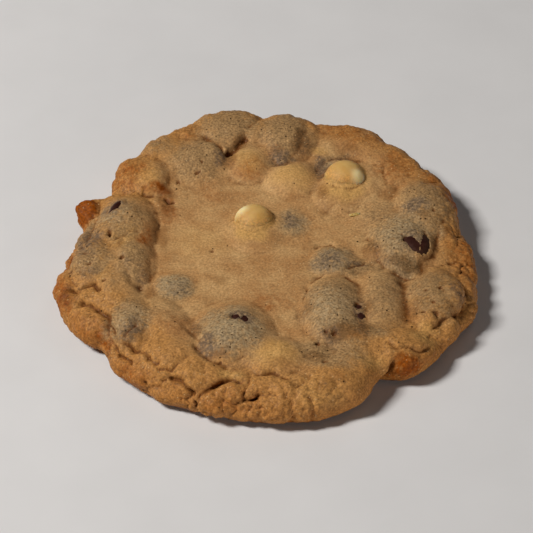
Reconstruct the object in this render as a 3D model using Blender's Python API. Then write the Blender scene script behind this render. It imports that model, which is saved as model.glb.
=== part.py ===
"""A soft chocolate chip cookie about 96 mm across, resting on its flat underside.

The dough is one closed solid: a skin laid out flat as a disc, wrapped over the cookie's section, and raised
into the swells, folds and crags that baking left on it.  White and dark chips break through it here and
there, each a solid of its own in a pocket of the dough.
"""

import math
import random
from typing import NamedTuple

import bmesh
import bpy
import numpy as np
from mathutils import Vector, kdtree, noise

# Every size below is in millimetres, and a bearing is in degrees from +X towards +Y.
MM = 0.001

# ---------------------------------------------------------------- driving sizes
CROWN = 7.4  # height of the plain top, between the swells
WAIST = 3.0  # height of the widest line
HEEL = 1.8  # how far the side tucks under below the waist
HEEL_LIFT = 0.9  # height of the lifted edge of the underside
FOOT_SHARE = 0.8  # the flat of the underside, as a share of the widest radius
CENTRE = (-0.1, 0.5)  # middle of the footprint in the measured plan, which becomes the origin
POCKET_GAP = 0.3  # room left between a chip and its pocket

# The dough's spread: (bearing, radius of the widest line), closer together where a lobe or a notch turns.
SPREAD = (
    (-178, 45.6), (-173, 48.0), (-169, 48.8), (-163, 48.6), (-157, 48.3), (-151, 47.3), (-147, 45.8),
    (-144, 44.6), (-141, 45.6), (-135, 47.0), (-128, 47.3), (-121, 47.8), (-113, 48.1), (-108, 47.9),
    (-100, 48.2), (-91, 48.6), (-84, 49.0), (-77, 49.3), (-71, 48.6), (-65, 47.4), (-61, 45.6), (-58, 43.9),
    (-56, 43.1), (-53, 44.6), (-50, 46.5), (-46, 47.3), (-40, 47.8), (-35, 47.6), (-29, 47.8), (-24, 48.8),
    (-20, 49.5), (-14, 49.1), (-6, 48.0), (2, 47.5), (8, 46.6), (12, 46.4), (15, 46.2), (18, 47.0),
    (22, 48.2), (27, 49.2), (31, 49.6), (36, 49.2), (44, 49.8), (49, 50.0), (53, 49.8), (56, 51.2),
    (61, 51.8), (68, 50.8), (77, 49.0), (86, 49.2), (93, 49.2), (99, 50.8), (106, 51.4), (113, 50.0),
    (120, 48.8), (126, 48.9), (131, 47.4), (137, 46.8), (143, 44.6), (149, 43.2), (152, 44.6), (155, 47.3),
    (159, 47.3), (163, 44.6), (167, 43.5), (171, 43.9), (175, 45.0), (179, 45.9),
)

# How much higher than the plain top the brim stands, by bearing, and how strongly the brim is cragged.
BRIM = (
    (-180, 0.6), (-150, 0.2), (-120, 0.6), (-90, 0.9), (-60, 0.8), (-35, 0.4), (-10, 0.4), (15, 1.2),
    (40, 2.0), (70, 2.0), (95, 1.8), (125, 1.5), (145, 1.0), (160, 0.6),
)
CRAGS = (
    (-180, 0.8), (-150, 0.8), (-120, 0.9), (-90, 1.3), (-60, 1.1), (-30, 0.8), (0, 0.8), (30, 0.6),
    (60, 0.5), (90, 0.5), (120, 0.7), (145, 0.8), (160, 1.3),
)

# How far in from the widest line the top starts to round over: a wide slope near and left, a plump back.
SHOULDER = (
    (-180, 8.5), (-150, 8.5), (-120, 7.5), (-90, 7.0), (-60, 7.0), (-35, 6.5), (-10, 5.5), (15, 4.8),
    (40, 4.6), (70, 4.6), (95, 4.6), (125, 5.0), (145, 6.5), (160, 8.0),
)


class Swell(NamedTuple):
    """A dome under the skin: its middle, half sizes, height, how soft its foot is, and turn in degrees."""

    x: float
    y: float
    rx: float
    ry: float
    height: float
    foot: float = 1.3
    turn: float = 0.0


class Fold(NamedTuple):
    """A groove in the skin along a few points: width from its middle to its lip, depth, and tapered ends."""

    path: tuple
    width: float
    depth: float


SWELLS = (
    # the long knuckle down the left side, over a chip at its upper end
    Swell(-32.0, 8.6, 6.3, 10.6, 3.4, 0.8),
    Swell(-30.6, -5.6, 4.5, 8.6, 2.5, 0.9),
    Swell(-38.8, -3.6, 4.7, 7.6, 2.6, 0.75),
    Swell(-35.2, -10.6, 3.8, 9.0, 2.0, 1.0, 12.0),
    Swell(-39.6, 8.0, 3.6, 6.0, 0.9, 1.2, -25.0),
    Swell(-40.6, -13.4, 2.9, 2.6, 1.1, 1.0),
    # the near left flank
    Swell(-30.4, -22.4, 4.5, 7.6, 2.5, 0.85),
    Swell(-20.4, -24.8, 10.8, 4.3, 1.8, 1.1, -66.0),
    Swell(-20.8, -34.2, 5.0, 5.0, 1.9, 0.9),
    Swell(-26.8, -35.6, 4.0, 3.6, 1.3, 1.0),
    Swell(-15.8, -40.0, 4.6, 4.2, 1.4, 1.0),
    Swell(-39.4, -22.0, 5.4, 6.6, 1.2, 1.1),
    # the big covered chip near the front, and the pale ones beside and behind it
    Swell(-7.0, -27.2, 8.3, 9.8, 3.0, 1.1),
    Swell(1.0, -34.4, 5.5, 5.4, 2.2, 1.0),
    Swell(-20.7, -11.6, 4.9, 4.8, 0.9, 1.8),
    # the near right group
    Swell(15.0, -20.0, 6.9, 10.2, 3.3, 0.9),
    Swell(26.0, -16.8, 4.0, 10.2, 2.5, 0.95),
    Swell(37.0, -16.6, 6.0, 9.4, 2.8, 0.8),
    Swell(41.2, -14.4, 2.6, 4.6, 2.6, 0.8),
    Swell(15.0, -3.2, 4.3, 4.9, 1.8, 1.1),
    Swell(20.6, -4.0, 3.4, 1.6, 0.7, 1.2, -35.0),
    Swell(20.2, -29.0, 6.5, 6.0, 1.0, 1.5),
    # the right shoulder, over a chip that shows
    Swell(30.6, 1.8, 7.2, 9.0, 3.2, 1.0),
    Swell(37.2, 13.4, 6.6, 8.8, 2.8, 1.0),
    Swell(27.6, 12.6, 5.6, 5.0, 0.8, 1.6),
    # dough drawn up round the two white chips, and a chip close under the skin beside one
    Swell(-2.6, 8.6, 6.0, 6.6, 2.0, 1.3),
    Swell(18.6, 22.6, 6.4, 6.8, 2.2, 1.3),
    Swell(5.0, 10.6, 3.4, 5.8, 0.5, 1.6),
    # the far side
    Swell(6.2, 26.0, 5.4, 5.2, 2.0, 1.1),
    Swell(-4.8, 31.4, 5.2, 5.6, 2.3, 1.0),
    Swell(4.6, 40.6, 7.4, 9.4, 2.8, 0.9),
    Swell(4.0, 32.2, 3.2, 3.2, 1.5, 1.1),
    Swell(-8.4, 42.6, 10.8, 7.4, 3.0, 0.85),
    Swell(-16.4, 31.0, 7.4, 7.2, 2.2, 1.1),
    Swell(-12.6, 33.6, 3.8, 4.6, 2.6, 1.0),
    Swell(-19.6, 40.6, 5.0, 4.4, 1.8, 1.0),
    Swell(-25.2, 35.2, 5.0, 5.4, 2.1, 1.0),
    Swell(-27.8, 25.4, 4.0, 5.4, 2.3, 0.9),
    Swell(-32.6, 27.2, 4.8, 5.6, 2.1, 0.9),
    Swell(24.0, 35.0, 8.0, 5.4, 0.7, 1.6, -35.0),
    # broad lobes of the rim
    Swell(9.0, -43.4, 6.0, 4.4, 1.0, 1.1),
    Swell(18.0, -41.0, 7.4, 6.0, 1.3, 1.2),
    Swell(-3.0, -44.6, 6.0, 3.6, 0.9, 1.1),
    Swell(-41.8, 15.0, 2.9, 4.2, 1.5, 0.8),
)

FOLDS = (
    Fold(((-26.0, 14.0), (-25.2, 8.0), (-25.4, 0.0), (-26.0, -6.0), (-27.4, -11.0)), 2.0, 0.6),
    Fold(((-35.4, 1.0), (-34.6, -4.0), (-32.2, -8.4), (-29.4, -13.0)), 1.4, 0.9),
    Fold(((-43.6, -11.4), (-41.2, -11.0), (-39.6, -10.6), (-38.3, -11.6), (-37.8, -13.8)), 1.2, 1.8),
    Fold(((-41.4, -15.6), (-39.2, -15.6), (-37.4, -16.7), (-35.8, -19.1), (-34.4, -20.2)), 1.4, 2.2),
    Fold(
        ((-34.8, -20.0), (-34.2, -22.6), (-32.6, -26.5), (-32.0, -28.5), (-35.0, -30.4), (-38.0, -32.0)),
        1.1,
        1.5,
    ),
    Fold(((-32.0, -27.8), (-31.3, -30.4), (-29.4, -31.6), (-27.2, -32.2), (-25.6, -31.6)), 1.1, 1.1),
    Fold(((-32.1, -29.7), (-32.2, -33.0), (-31.0, -36.4), (-31.4, -40.0)), 1.1, 1.0),
    Fold(((-24.8, -33.6), (-23.8, -37.6), (-21.4, -39.4), (-18.9, -40.6)), 1.2, 1.0),
    Fold(((-24.0, -38.0), (-25.4, -42.0), (-25.6, -47.0)), 1.1, 0.9),
    Fold(((-18.9, -40.6), (-17.4, -42.6), (-16.4, -45.4), (-16.6, -48.4), (-17.6, -53.0)), 1.4, 1.8),
    Fold(
        ((-16.4, -46.4), (-13.9, -44.2), (-11.5, -42.8), (-9.3, -41.6), (-6.2, -41.4), (-4.3, -43.2)),
        1.4,
        1.7,
    ),
    Fold(((-9.4, -43.0), (-10.6, -46.4), (-10.6, -53.0)), 1.1, 1.1),
    Fold(((-9.0, -48.6), (-6.4, -47.8), (-4.0, -46.6), (0.6, -46.8)), 1.2, 1.1),
    Fold(((-4.3, -43.2), (-4.4, -47.0), (-4.2, -53.4)), 1.1, 1.2),
    Fold(((4.8, -42.6), (5.2, -46.0), (6.2, -48.6), (5.6, -53.4)), 1.2, 1.3),
    Fold(((7.4, -42.0), (8.8, -44.6), (10.2, -47.6), (10.8, -53.4)), 1.2, 1.4),
    Fold(((-5.0, -42.6), (-3.6, -42.0), (-1.0, -40.4), (1.4, -41.2), (3.6, -42.6), (5.0, -44.6)), 1.1, 1.0),
    Fold(((5.0, -44.0), (7.0, -41.2), (8.8, -39.4)), 1.2, 0.8),
    Fold(
        ((22.3, -32.4), (24.8, -32.6), (27.1, -33.8), (29.2, -33.0), (32.8, -32.2), (36.4, -30.4)), 1.2, 1.2
    ),
    Fold(((25.0, -44.0), (25.6, -39.6), (27.0, -36.4), (27.0, -33.6)), 1.5, 1.8),
    Fold(
        ((43.4, -16.6), (42.6, -18.8), (40.4, -20.4), (38.2, -22.0), (37.4, -23.8), (35.4, -26.4)), 1.3, 1.5
    ),
    Fold(((36.6, -1.6), (35.6, -5.0), (34.2, -8.6)), 1.2, 0.8),
    Fold(((-10.2, 34.6), (-9.0, 35.2), (-7.6, 37.0), (-6.4, 39.4)), 1.7, 2.2),
    Fold(((-6.4, 39.0), (-3.6, 42.0), (-0.6, 46.0), (-0.4, 49.0)), 1.6, 0.9),
    Fold(((-9.4, 31.0), (-10.6, 34.4), (-13.6, 36.4), (-15.0, 38.8)), 1.5, 0.9),
    Fold(((-28.6, 21.2), (-26.2, 20.4), (-24.6, 19.6), (-23.0, 18.6), (-22.2, 16.6)), 1.5, 1.2),
    Fold(((11.6, 44.0), (10.4, 39.6), (8.4, 35.4)), 1.8, 0.8),
    Fold(((-38.0, 12.4), (-39.4, 5.0), (-42.6, 1.0)), 1.3, 1.0),
    Fold(((28.6, 28.6), (27.8, 24.0), (28.6, 19.6)), 1.4, 0.5),
    Fold(((44.0, 12.0), (40.0, 6.6), (38.4, 0.6), (38.6, -5.0)), 1.8, 0.7),
)


class Chip(NamedTuple):
    """A chocolate drop, softened by the oven.  proud is how far its top stands out of the dough."""

    name: str
    x: float
    y: float
    rx: float
    ry: float
    dome: float
    depth: float
    proud: float
    turn: float
    colour: tuple


WHITE = (0.56, 0.36, 0.13, 1.0)
DARK = (0.045, 0.020, 0.014, 1.0)

CHIPS = (
    Chip("white_chip_right", 18.5, 25.0, 5.0, 5.0, 4.4, 3.2, 2.2, 0.0, WHITE),
    Chip("white_chip_middle", -2.8, 10.4, 4.7, 4.9, 4.2, 3.0, 1.9, 0.0, WHITE),
    Chip("dark_chip_right", 33.7, 0.6, 4.4, 5.2, 4.0, 3.4, 0.5, -6.0, DARK),
    Chip("dark_chip_near_right", 20.4, -21.6, 2.3, 4.6, 3.4, 3.0, 0.3, 0.0, DARK),
    Chip("dark_chip_near", -5.6, -24.2, 4.2, 3.6, 4.2, 3.0, 0.15, 0.0, DARK),
    Chip("dark_chip_left", -34.2, 12.0, 2.4, 4.6, 3.8, 3.0, 0.3, -20.0, DARK),
)

# ---------------------------------------------------------------- fineness of the meshes
TOP_RINGS = 50  # rings of faces on the top, out to where it starts to round over
SHOULDER_RINGS = 14  # from there down to the waist
HEEL_RINGS = 4
HEM_RINGS = 4  # from the lifted edge in to the flat
DOUGH_TRIANGLES = 10300
CHIP_CARE = 0.3  # how much finer the faces stay round the chips
CHIP_SEGMENTS = 16
CHIP_RINGS = 8


# ---------------------------------------------------------------- the skin
def round_curve(table, bearing):
    """Reads a table of (bearing in degrees, value) at bearings in radians, as a smooth closed curve."""
    angles = np.array([point[0] for point in table], float)
    values = np.array([point[1] for point in table], float)
    angles = np.concatenate([angles - 360, angles, angles + 360])
    values = np.tile(values, 3)
    slopes = np.gradient(values, angles)
    degrees = (np.degrees(bearing) + 180) % 360 - 180
    left = np.searchsorted(angles, degrees, side="right") - 1
    step = angles[left + 1] - angles[left]
    t = (degrees - angles[left]) / step
    return (
        (2 * t**3 - 3 * t**2 + 1) * values[left]
        + (t**3 - 2 * t**2 + t) * step * slopes[left]
        + (3 * t**2 - 2 * t**3) * values[left + 1]
        + (t**3 - t**2) * step * slopes[left + 1]
    )


def quarter_length(a, b):
    """Length of a quarter of an ellipse, near enough."""
    return math.pi / 2 * np.hypot(a, b) / math.sqrt(2)


HEEL_LENGTH = quarter_length(HEEL, WAIST - HEEL_LIFT)


class Section(NamedTuple):
    """What the cookie's section needs at each of many bearings, and where each skin point falls along it."""

    waist: np.ndarray
    shoulder: np.ndarray
    reach: np.ndarray
    past_crown: np.ndarray
    upper: np.ndarray
    lower: np.ndarray
    past_heel: np.ndarray


def section_of(skin):
    """Finds each skin point's place along the section: upper and lower run from 0 to 1 over its rounds."""
    bearing = np.arctan2(skin[:, 1], skin[:, 0])
    reach = np.hypot(skin[:, 0], skin[:, 1])
    waist = round_curve(SPREAD, bearing)
    shoulder = round_curve(SHOULDER, bearing)
    shoulder_length = quarter_length(shoulder, CROWN - WAIST)
    past_crown = reach - (waist - shoulder)
    upper = np.clip(past_crown / shoulder_length, 0, 1)
    lower = np.clip((past_crown - shoulder_length) / HEEL_LENGTH, 0, 1)
    past_heel = past_crown - shoulder_length - HEEL_LENGTH
    return Section(waist, shoulder, reach, past_crown, upper, lower, past_heel)


def smooth_step(low, high, value):
    """0 below low, 1 above high, and an even curve between."""
    t = np.clip((value - low) / (high - low), 0, 1)
    return t * t * (3 - 2 * t)


def wrapped(skin):
    """Lays flat skin points over the cookie's section: their places, and the way out of the surface."""
    at = section_of(skin)
    bearing = np.arctan2(skin[:, 1], skin[:, 0])
    brim = round_curve(BRIM, bearing) * smooth_step(0.5, 0.92, at.reach / (at.waist - at.shoulder))
    upper = at.upper * math.pi / 2
    lower = at.lower * math.pi / 2
    hem = at.waist - HEEL - np.maximum(at.past_heel, 0)

    radius = np.where(at.past_crown < 0, at.reach, at.waist - at.shoulder + at.shoulder * np.sin(upper))
    radius = np.where(at.lower > 0, at.waist - HEEL + HEEL * np.cos(lower), radius)
    radius = np.where(at.past_heel > 0, hem, radius)
    height = WAIST + (CROWN + brim - WAIST) * np.cos(upper)
    height = np.where(at.lower > 0, WAIST - (WAIST - HEEL_LIFT) * np.sin(lower), height)
    lift = HEEL_LIFT * smooth_step(0, 1, (hem / at.waist - FOOT_SHARE) / (1 - HEEL / at.waist - FOOT_SHARE))
    height = np.where(at.past_heel > 0, lift, height)

    outward = np.sin(upper) * np.cos(lower)
    upward = np.cos(upper) - np.sin(lower)
    place = np.stack([radius * np.cos(bearing), radius * np.sin(bearing), height], axis=1)
    way = np.stack([outward * np.cos(bearing), outward * np.sin(bearing), upward], axis=1)
    return place, way / np.linalg.norm(way, axis=1, keepdims=True)


# ---------------------------------------------------------------- the relief
def swell_height(skin):
    """Height of the swells: the tallest wins, with a soft valley where two meet."""
    blend = 0.35
    total = np.ones(len(skin))
    for swell in SWELLS:
        turn = math.radians(swell.turn)
        dx = skin[:, 0] - swell.x
        dy = skin[:, 1] - swell.y
        along = (dx * math.cos(turn) + dy * math.sin(turn)) / swell.rx
        across = (dy * math.cos(turn) - dx * math.sin(turn)) / swell.ry
        inside = np.clip(1 - along**2 - across**2, 0, 1)
        total += np.exp(swell.height * inside**swell.foot / blend) - 1
    return blend * np.log(total)


def wander(skin, pitch):
    """A smooth uneven shift for each skin point, from -1 to 1 each way, changing over about 1 / pitch."""
    shifts = []
    for x, y in skin:
        east = noise.noise(Vector((x * pitch, y * pitch, 3.0)))
        north = noise.noise(Vector((x * pitch, y * pitch, 19.0)))
        shifts.append((east, north))
    return np.array(shifts)


def distance_to_path(skin, path):
    """Distance to a broken line, and how far along it the nearest point is, from 0 to 1."""
    points = np.array(path, float)
    lengths = np.linalg.norm(np.diff(points, axis=0), axis=1)
    starts = np.concatenate([[0.0], np.cumsum(lengths)])
    best = np.full(len(skin), np.inf)
    along = np.zeros(len(skin))
    for i, length in enumerate(lengths):
        way = (points[i + 1] - points[i]) / length
        t = np.clip((skin - points[i]) @ way, 0, length)
        gap = np.linalg.norm(skin - points[i] - t[:, None] * way, axis=1)
        nearer = gap < best
        best = np.where(nearer, gap, best)
        along = np.where(nearer, (starts[i] + t) / starts[-1], along)
    return best, along


def fold_depth(skin):
    """Depth of the folds: the deepest wins."""
    moved = skin + 0.55 * wander(skin, 0.45)
    depth = np.zeros(len(skin))
    for fold in FOLDS:
        gap, along = distance_to_path(moved, fold.path)
        taper = smooth_step(0, 0.12, along) * smooth_step(0, 0.12, 1 - along) * 0.75 + 0.25
        depth = np.maximum(depth, fold.depth * taper * np.clip(1 - gap / fold.width, 0, 1) ** 1.5)
    return depth


def crag_seeds():
    """Middles of the crags round the rim: a staggered net of points, each pushed off its place."""
    draw = random.Random(5)
    pitch = 5.6
    rows = range(-13, 14)
    seeds = []
    for row in rows:
        for column in rows:
            x = pitch * (column + 0.5 * (row % 2)) + draw.uniform(-2.1, 2.1)
            y = pitch * 0.87 * row + draw.uniform(-2.1, 2.1)
            if 30 < math.hypot(x, y) < 62:
                seeds.append((x, y, 0.0))
    return seeds


def crag_height(skin, edge):
    """Rounded crags parted by cracks, on the rim only: edge is 0 on the top and 1 round the side."""
    seeds = crag_seeds()
    tree = kdtree.KDTree(len(seeds))
    for i, seed in enumerate(seeds):
        tree.insert(seed, i)
    tree.balance()
    height = np.zeros(len(skin))
    moved = skin + 1.4 * wander(skin, 0.3)
    for i in np.nonzero(edge > 0)[0]:
        x, y = skin[i]
        first, second = tree.find_n((moved[i, 0], moved[i, 1], 0.0), 2)
        parting = min((second[2] - first[2]) / 1.8, 1.0)
        strength = min(max(0.5 + 1.6 * noise.noise(Vector((x * 0.09, y * 0.09, 21.0))), 0.1), 1.2)
        height[i] = 0.25 - 0.045 * first[2] ** 2 - 0.8 * strength * (1 - parting) ** 1.5
    return height * edge


def grain_height(skin, edge):
    """Broad unevenness of the baked skin, rougher towards the rim."""
    waves = np.array([noise.fractal(Vector((x * 0.14, y * 0.14, 0.0)), 0.9, 2.2, 3) for x, y in skin])
    return waves * (0.18 + 0.34 * edge)


def relief(skin):
    """Everything that baking added to the plain section, measured outwards from it."""
    at = section_of(skin)
    bearing = np.arctan2(skin[:, 1], skin[:, 0])
    edge = smooth_step(-4.0, 3.0, at.past_crown) * round_curve(CRAGS, bearing)
    raised = swell_height(skin) - fold_depth(skin) + crag_height(skin, edge) + grain_height(skin, edge)
    return raised * (1 - smooth_step(0, 1, at.lower))


# ---------------------------------------------------------------- the solids
def ring_reach(ring, bearing):
    """How far from the skin's middle the vertices of a ring lie at a bearing.  Rings count out from 0."""
    waist = float(round_curve(SPREAD, np.array([bearing]))[0])
    shoulder = float(round_curve(SHOULDER, np.array([bearing]))[0])
    crown_rings = min(ring, TOP_RINGS)
    shoulder_rings = min(max(ring - TOP_RINGS, 0), SHOULDER_RINGS)
    heel_rings = min(max(ring - TOP_RINGS - SHOULDER_RINGS, 0), HEEL_RINGS)
    hem_rings = max(ring - TOP_RINGS - SHOULDER_RINGS - HEEL_RINGS, 0)
    return (
        (waist - shoulder) * crown_rings / TOP_RINGS
        + float(quarter_length(shoulder, CROWN - WAIST)) * shoulder_rings / SHOULDER_RINGS
        + float(HEEL_LENGTH) * heel_rings / HEEL_RINGS
        + ((1 - FOOT_SHARE) * waist - HEEL) * hem_rings / HEM_RINGS
    )


def flat_skin():
    """The whole skin laid out flat.  A grid's square rings become rings of the top, the side and the hem."""
    rings = TOP_RINGS + SHOULDER_RINGS + HEEL_RINGS + HEM_RINGS
    sheet = bmesh.new()
    bmesh.ops.create_grid(sheet, x_segments=2 * rings, y_segments=2 * rings, size=rings)
    for vert in sheet.verts:
        x, y = vert.co.x, vert.co.y
        ring = round(max(abs(x), abs(y)))
        if ring == 0:
            continue
        if abs(x) > abs(y):
            bearing = math.pi / 4 * y / x + (math.pi if x < 0 else 0)
        else:
            bearing = math.pi / 2 - math.pi / 4 * x / y + (math.pi if y < 0 else 0)
        bearing = math.atan2(math.sin(bearing), math.cos(bearing))
        reach = ring_reach(ring, bearing)
        vert.co = (reach * math.cos(bearing), reach * math.sin(bearing), 0)
    return sheet


def new_object(name, sheet, colour, collection):
    """Makes an object of a bmesh, in metres, with the material that its colour asks for."""
    mesh = bpy.data.meshes.new(name)
    bmesh.ops.scale(sheet, vec=(MM, MM, MM), verts=sheet.verts)
    sheet.to_mesh(mesh)
    sheet.free()
    mesh.shade_smooth()
    material = bpy.data.materials.new(name)
    material.use_nodes = True
    shader = material.node_tree.nodes["Principled BSDF"]
    shader.inputs["Base Color"].default_value = colour
    shader.inputs["Roughness"].default_value = 0.6
    shader.inputs["Metallic"].default_value = 0.0
    mesh.materials.append(material)
    made = bpy.data.objects.new(name, mesh)
    collection.objects.link(made)
    return made


def make_dough(collection):
    """The dough: the skin wrapped round the section, raised by its relief, and closed by a flat foot."""
    sheet = flat_skin()
    skin = np.array([vert.co[:2] for vert in sheet.verts])
    place, way = wrapped(skin)
    place += way * relief(skin)[:, None]
    place[:, :2] -= CENTRE
    for vert, point in zip(sheet.verts, place):
        vert.co = point
    rim = [edge for edge in sheet.edges if edge.is_boundary]
    for edge in rim:
        for vert in edge.verts:
            vert.co.z = 0
    foot = bmesh.ops.contextual_create(sheet, geom=rim)["faces"]
    bmesh.ops.recalc_face_normals(sheet, faces=sheet.faces)
    bmesh.ops.triangulate(sheet, faces=foot)
    triangles = sum(len(face.verts) - 2 for face in sheet.faces)
    dough = new_object("dough", sheet, (0.40, 0.22, 0.085, 1.0), collection)
    away = dough.vertex_groups.new(name="away from the chips")
    for vert in dough.data.vertices:
        x = vert.co.x / MM + CENTRE[0]
        y = vert.co.y / MM + CENTRE[1]
        gap = min(math.hypot(x - chip.x, y - chip.y) for chip in CHIPS)
        away.add([vert.index], float(smooth_step(5.0, 7.0, gap)), "REPLACE")
    thin = dough.modifiers.new("fewer faces where it is smooth", "DECIMATE")
    thin.ratio = DOUGH_TRIANGLES / triangles
    thin.vertex_group = away.name
    thin.vertex_group_factor = CHIP_CARE
    return dough


def chip_level(chip):
    """Height of a chip's widest level, from how far its top stands proud of the dough's skin there."""
    skin = np.array([(chip.x, chip.y)])
    place, way = wrapped(skin)
    return float((place + way * relief(skin)[:, None])[0, 2]) + chip.proud - chip.dome


def make_chip(chip, collection, grow=0.0):
    """A drop with a round dome and a flatter bed.  grow enlarges it all round, as the cutter of its pocket."""
    drop = bmesh.new()
    bmesh.ops.create_uvsphere(drop, u_segments=CHIP_SEGMENTS, v_segments=CHIP_RINGS, radius=1)
    turn = math.radians(chip.turn)
    level = chip_level(chip)
    for vert in drop.verts:
        x, y, z = vert.co
        height = z * (chip.dome + grow) if z > 0 else z * (chip.depth + grow)
        along = x * (chip.rx + grow)
        across = y * (chip.ry + grow)
        vert.co = (
            chip.x - CENTRE[0] + along * math.cos(turn) - across * math.sin(turn),
            chip.y - CENTRE[1] + along * math.sin(turn) + across * math.cos(turn),
            level + height,
        )
    name = chip.name if grow == 0 else chip.name + "_pocket"
    return new_object(name, drop, chip.colour, collection)


def main():
    for old in list(bpy.data.objects):
        bpy.data.objects.remove(old)
    cookie = bpy.data.collections.new("chocolate chip cookie")
    pockets = bpy.data.collections.new("pockets")
    bpy.context.scene.collection.children.link(cookie)
    bpy.context.scene.collection.children.link(pockets)

    dough = make_dough(cookie)
    for chip in CHIPS:
        make_chip(chip, cookie)
        cutter = make_chip(chip, pockets, POCKET_GAP)
        cutter.hide_render = True
        cutter.display_type = "WIRE"
    cut = dough.modifiers.new("pockets for the chips", "BOOLEAN")
    cut.operation = "DIFFERENCE"
    cut.operand_type = "COLLECTION"
    cut.collection = pockets
    cut.solver = "EXACT"


main()
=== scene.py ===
"""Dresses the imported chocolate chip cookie: its baked dough, the chips that show in it, and a pale studio.

Sizes are in millimetres in the cookie's measured plan, bearings in degrees from +X towards +Y, and skin
points are places on the dough's skin laid out flat.
"""

from __future__ import annotations

import logging
import math
import random
from dataclasses import dataclass, field
from enum import Enum
from typing import Any

import bmesh
import bpy
import numpy as np
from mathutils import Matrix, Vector, kdtree, noise


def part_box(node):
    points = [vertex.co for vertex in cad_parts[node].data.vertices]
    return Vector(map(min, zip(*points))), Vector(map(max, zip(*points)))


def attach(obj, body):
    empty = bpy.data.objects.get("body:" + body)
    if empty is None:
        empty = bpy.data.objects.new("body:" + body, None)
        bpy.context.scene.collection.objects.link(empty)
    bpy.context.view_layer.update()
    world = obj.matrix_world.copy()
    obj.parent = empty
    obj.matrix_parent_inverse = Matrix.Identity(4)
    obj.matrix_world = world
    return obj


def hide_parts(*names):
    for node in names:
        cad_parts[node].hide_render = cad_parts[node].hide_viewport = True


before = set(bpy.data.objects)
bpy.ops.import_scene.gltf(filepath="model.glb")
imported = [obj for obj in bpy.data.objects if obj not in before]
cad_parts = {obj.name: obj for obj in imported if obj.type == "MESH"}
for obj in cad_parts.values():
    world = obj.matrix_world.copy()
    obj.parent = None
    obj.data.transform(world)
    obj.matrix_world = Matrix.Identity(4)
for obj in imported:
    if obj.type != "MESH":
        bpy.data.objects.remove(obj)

LOG = logging.getLogger("cookie")
MM = 0.001
PLAN_CENTRE = np.array((-0.1, 0.5))  # middle of the footprint in the measured plan: the frame's origin
FAR_BELOW = -50.0  # a height that lies under everything
NOISE_SPAN = (0.3, 0.7)  # most values of a noise texture lie between these
MIX_A, MIX_B, MIX_OUT = 6, 7, 2  # the colour sockets of a mix node

Table = tuple[tuple[float, float], ...]
Span = tuple[float, float]  # where a change starts and where it is full
Tree = bpy.types.NodeTree
Socket = bpy.types.NodeSocket


# ---------------------------------------------------------------- small tools
def smooth_step(low: float, high: float, value: np.ndarray) -> np.ndarray:
    """Rises from 0 at low to 1 at high along an even curve.

    Args:
        low: where it is still 0.
        high: where it is already 1, on either side of low.
        value: what is read off the curve.

    Returns:
        The curve's value, from 0 to 1.
    """
    t = np.clip((value - low) / (high - low), 0, 1)
    return t * t * (3 - 2 * t)


def quarter_length(a: np.ndarray | float, b: np.ndarray | float) -> np.ndarray | float:
    """Length of a quarter of an ellipse.

    Args:
        a: one half axis.
        b: the other half axis.

    Returns:
        The length, near enough.
    """
    return math.pi / 2 * np.hypot(a, b) / math.sqrt(2)


def rotated(x: Any, y: Any, degrees: float) -> tuple[Any, Any]:
    """Turns places in the plane about its middle.

    Args:
        x: the first coordinate, as a number or an array.
        y: the second one.
        degrees: how far they turn, from +X towards +Y.

    Returns:
        Both coordinates of the turned places.
    """
    turn = math.radians(degrees)
    return x * math.cos(turn) - y * math.sin(turn), x * math.sin(turn) + y * math.cos(turn)


def noise_at(points: np.ndarray, size: float, seed: float) -> np.ndarray:
    """Smooth noise over the skin.

    Args:
        points: skin points, n by 2.
        size: how far apart its swells lie, in millimetres.
        seed: tells one noise from another.

    Returns:
        A value from about -1 to 1 for each point.
    """
    scaled = points / size
    return np.array([noise.noise(Vector((x, y, seed))) for x, y in scaled])


def fractal_at(points: np.ndarray, size: float, octaves: int, seed: float) -> np.ndarray:
    """Noise of several sizes at once over the skin.

    Args:
        points: skin points, n by 2.
        size: how far apart its largest swells lie, in millimetres.
        octaves: how many sizes it adds, each about half the one before.
        seed: tells one noise from another.

    Returns:
        A value from about -1 to 1 for each point.
    """
    fading, shrinking = 0.9, 2.2
    scaled = points / size
    return np.array([noise.fractal(Vector((x, y, seed)), fading, shrinking, octaves) for x, y in scaled])


def varied(
    points: np.ndarray, size: float, seed: float, middle: float, swing: float, bounds: tuple[float, float]
) -> np.ndarray:
    """A factor that varies smoothly over skin points by a swing about a middle, within bounds."""
    return np.clip(middle + swing * noise_at(points, size, seed), *bounds)


def wander(points: np.ndarray, size: float, reach: float, seeds: tuple[float, float]) -> np.ndarray:
    """Pushes skin points about by a smooth noise, so that what is drawn on them wanders.

    Args:
        points: skin points, n by 2.
        size: how far apart the noise's swells lie, in millimetres.
        reach: how far it pushes a point at most, in millimetres.
        seeds: tell the noise along X and the one along Y from others.

    Returns:
        The pushed points, n by 2.
    """
    return points + reach * np.stack([noise_at(points, size, seed) for seed in seeds], axis=1)


def linear(hex_colour: str) -> tuple[float, float, float, float]:
    """Turns an sRGB colour into the linear one that a shader takes.

    Args:
        hex_colour: six hex digits.

    Returns:
        Red, green and blue from 0 to 1, and an alpha of 1.
    """
    parts = [int(hex_colour[i : i + 2], 16) / 255 for i in (0, 2, 4)]
    bent = [part / 12.92 if part <= 0.04045 else ((part + 0.055) / 1.055) ** 2.4 for part in parts]
    return (bent[0], bent[1], bent[2], 1.0)


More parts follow.
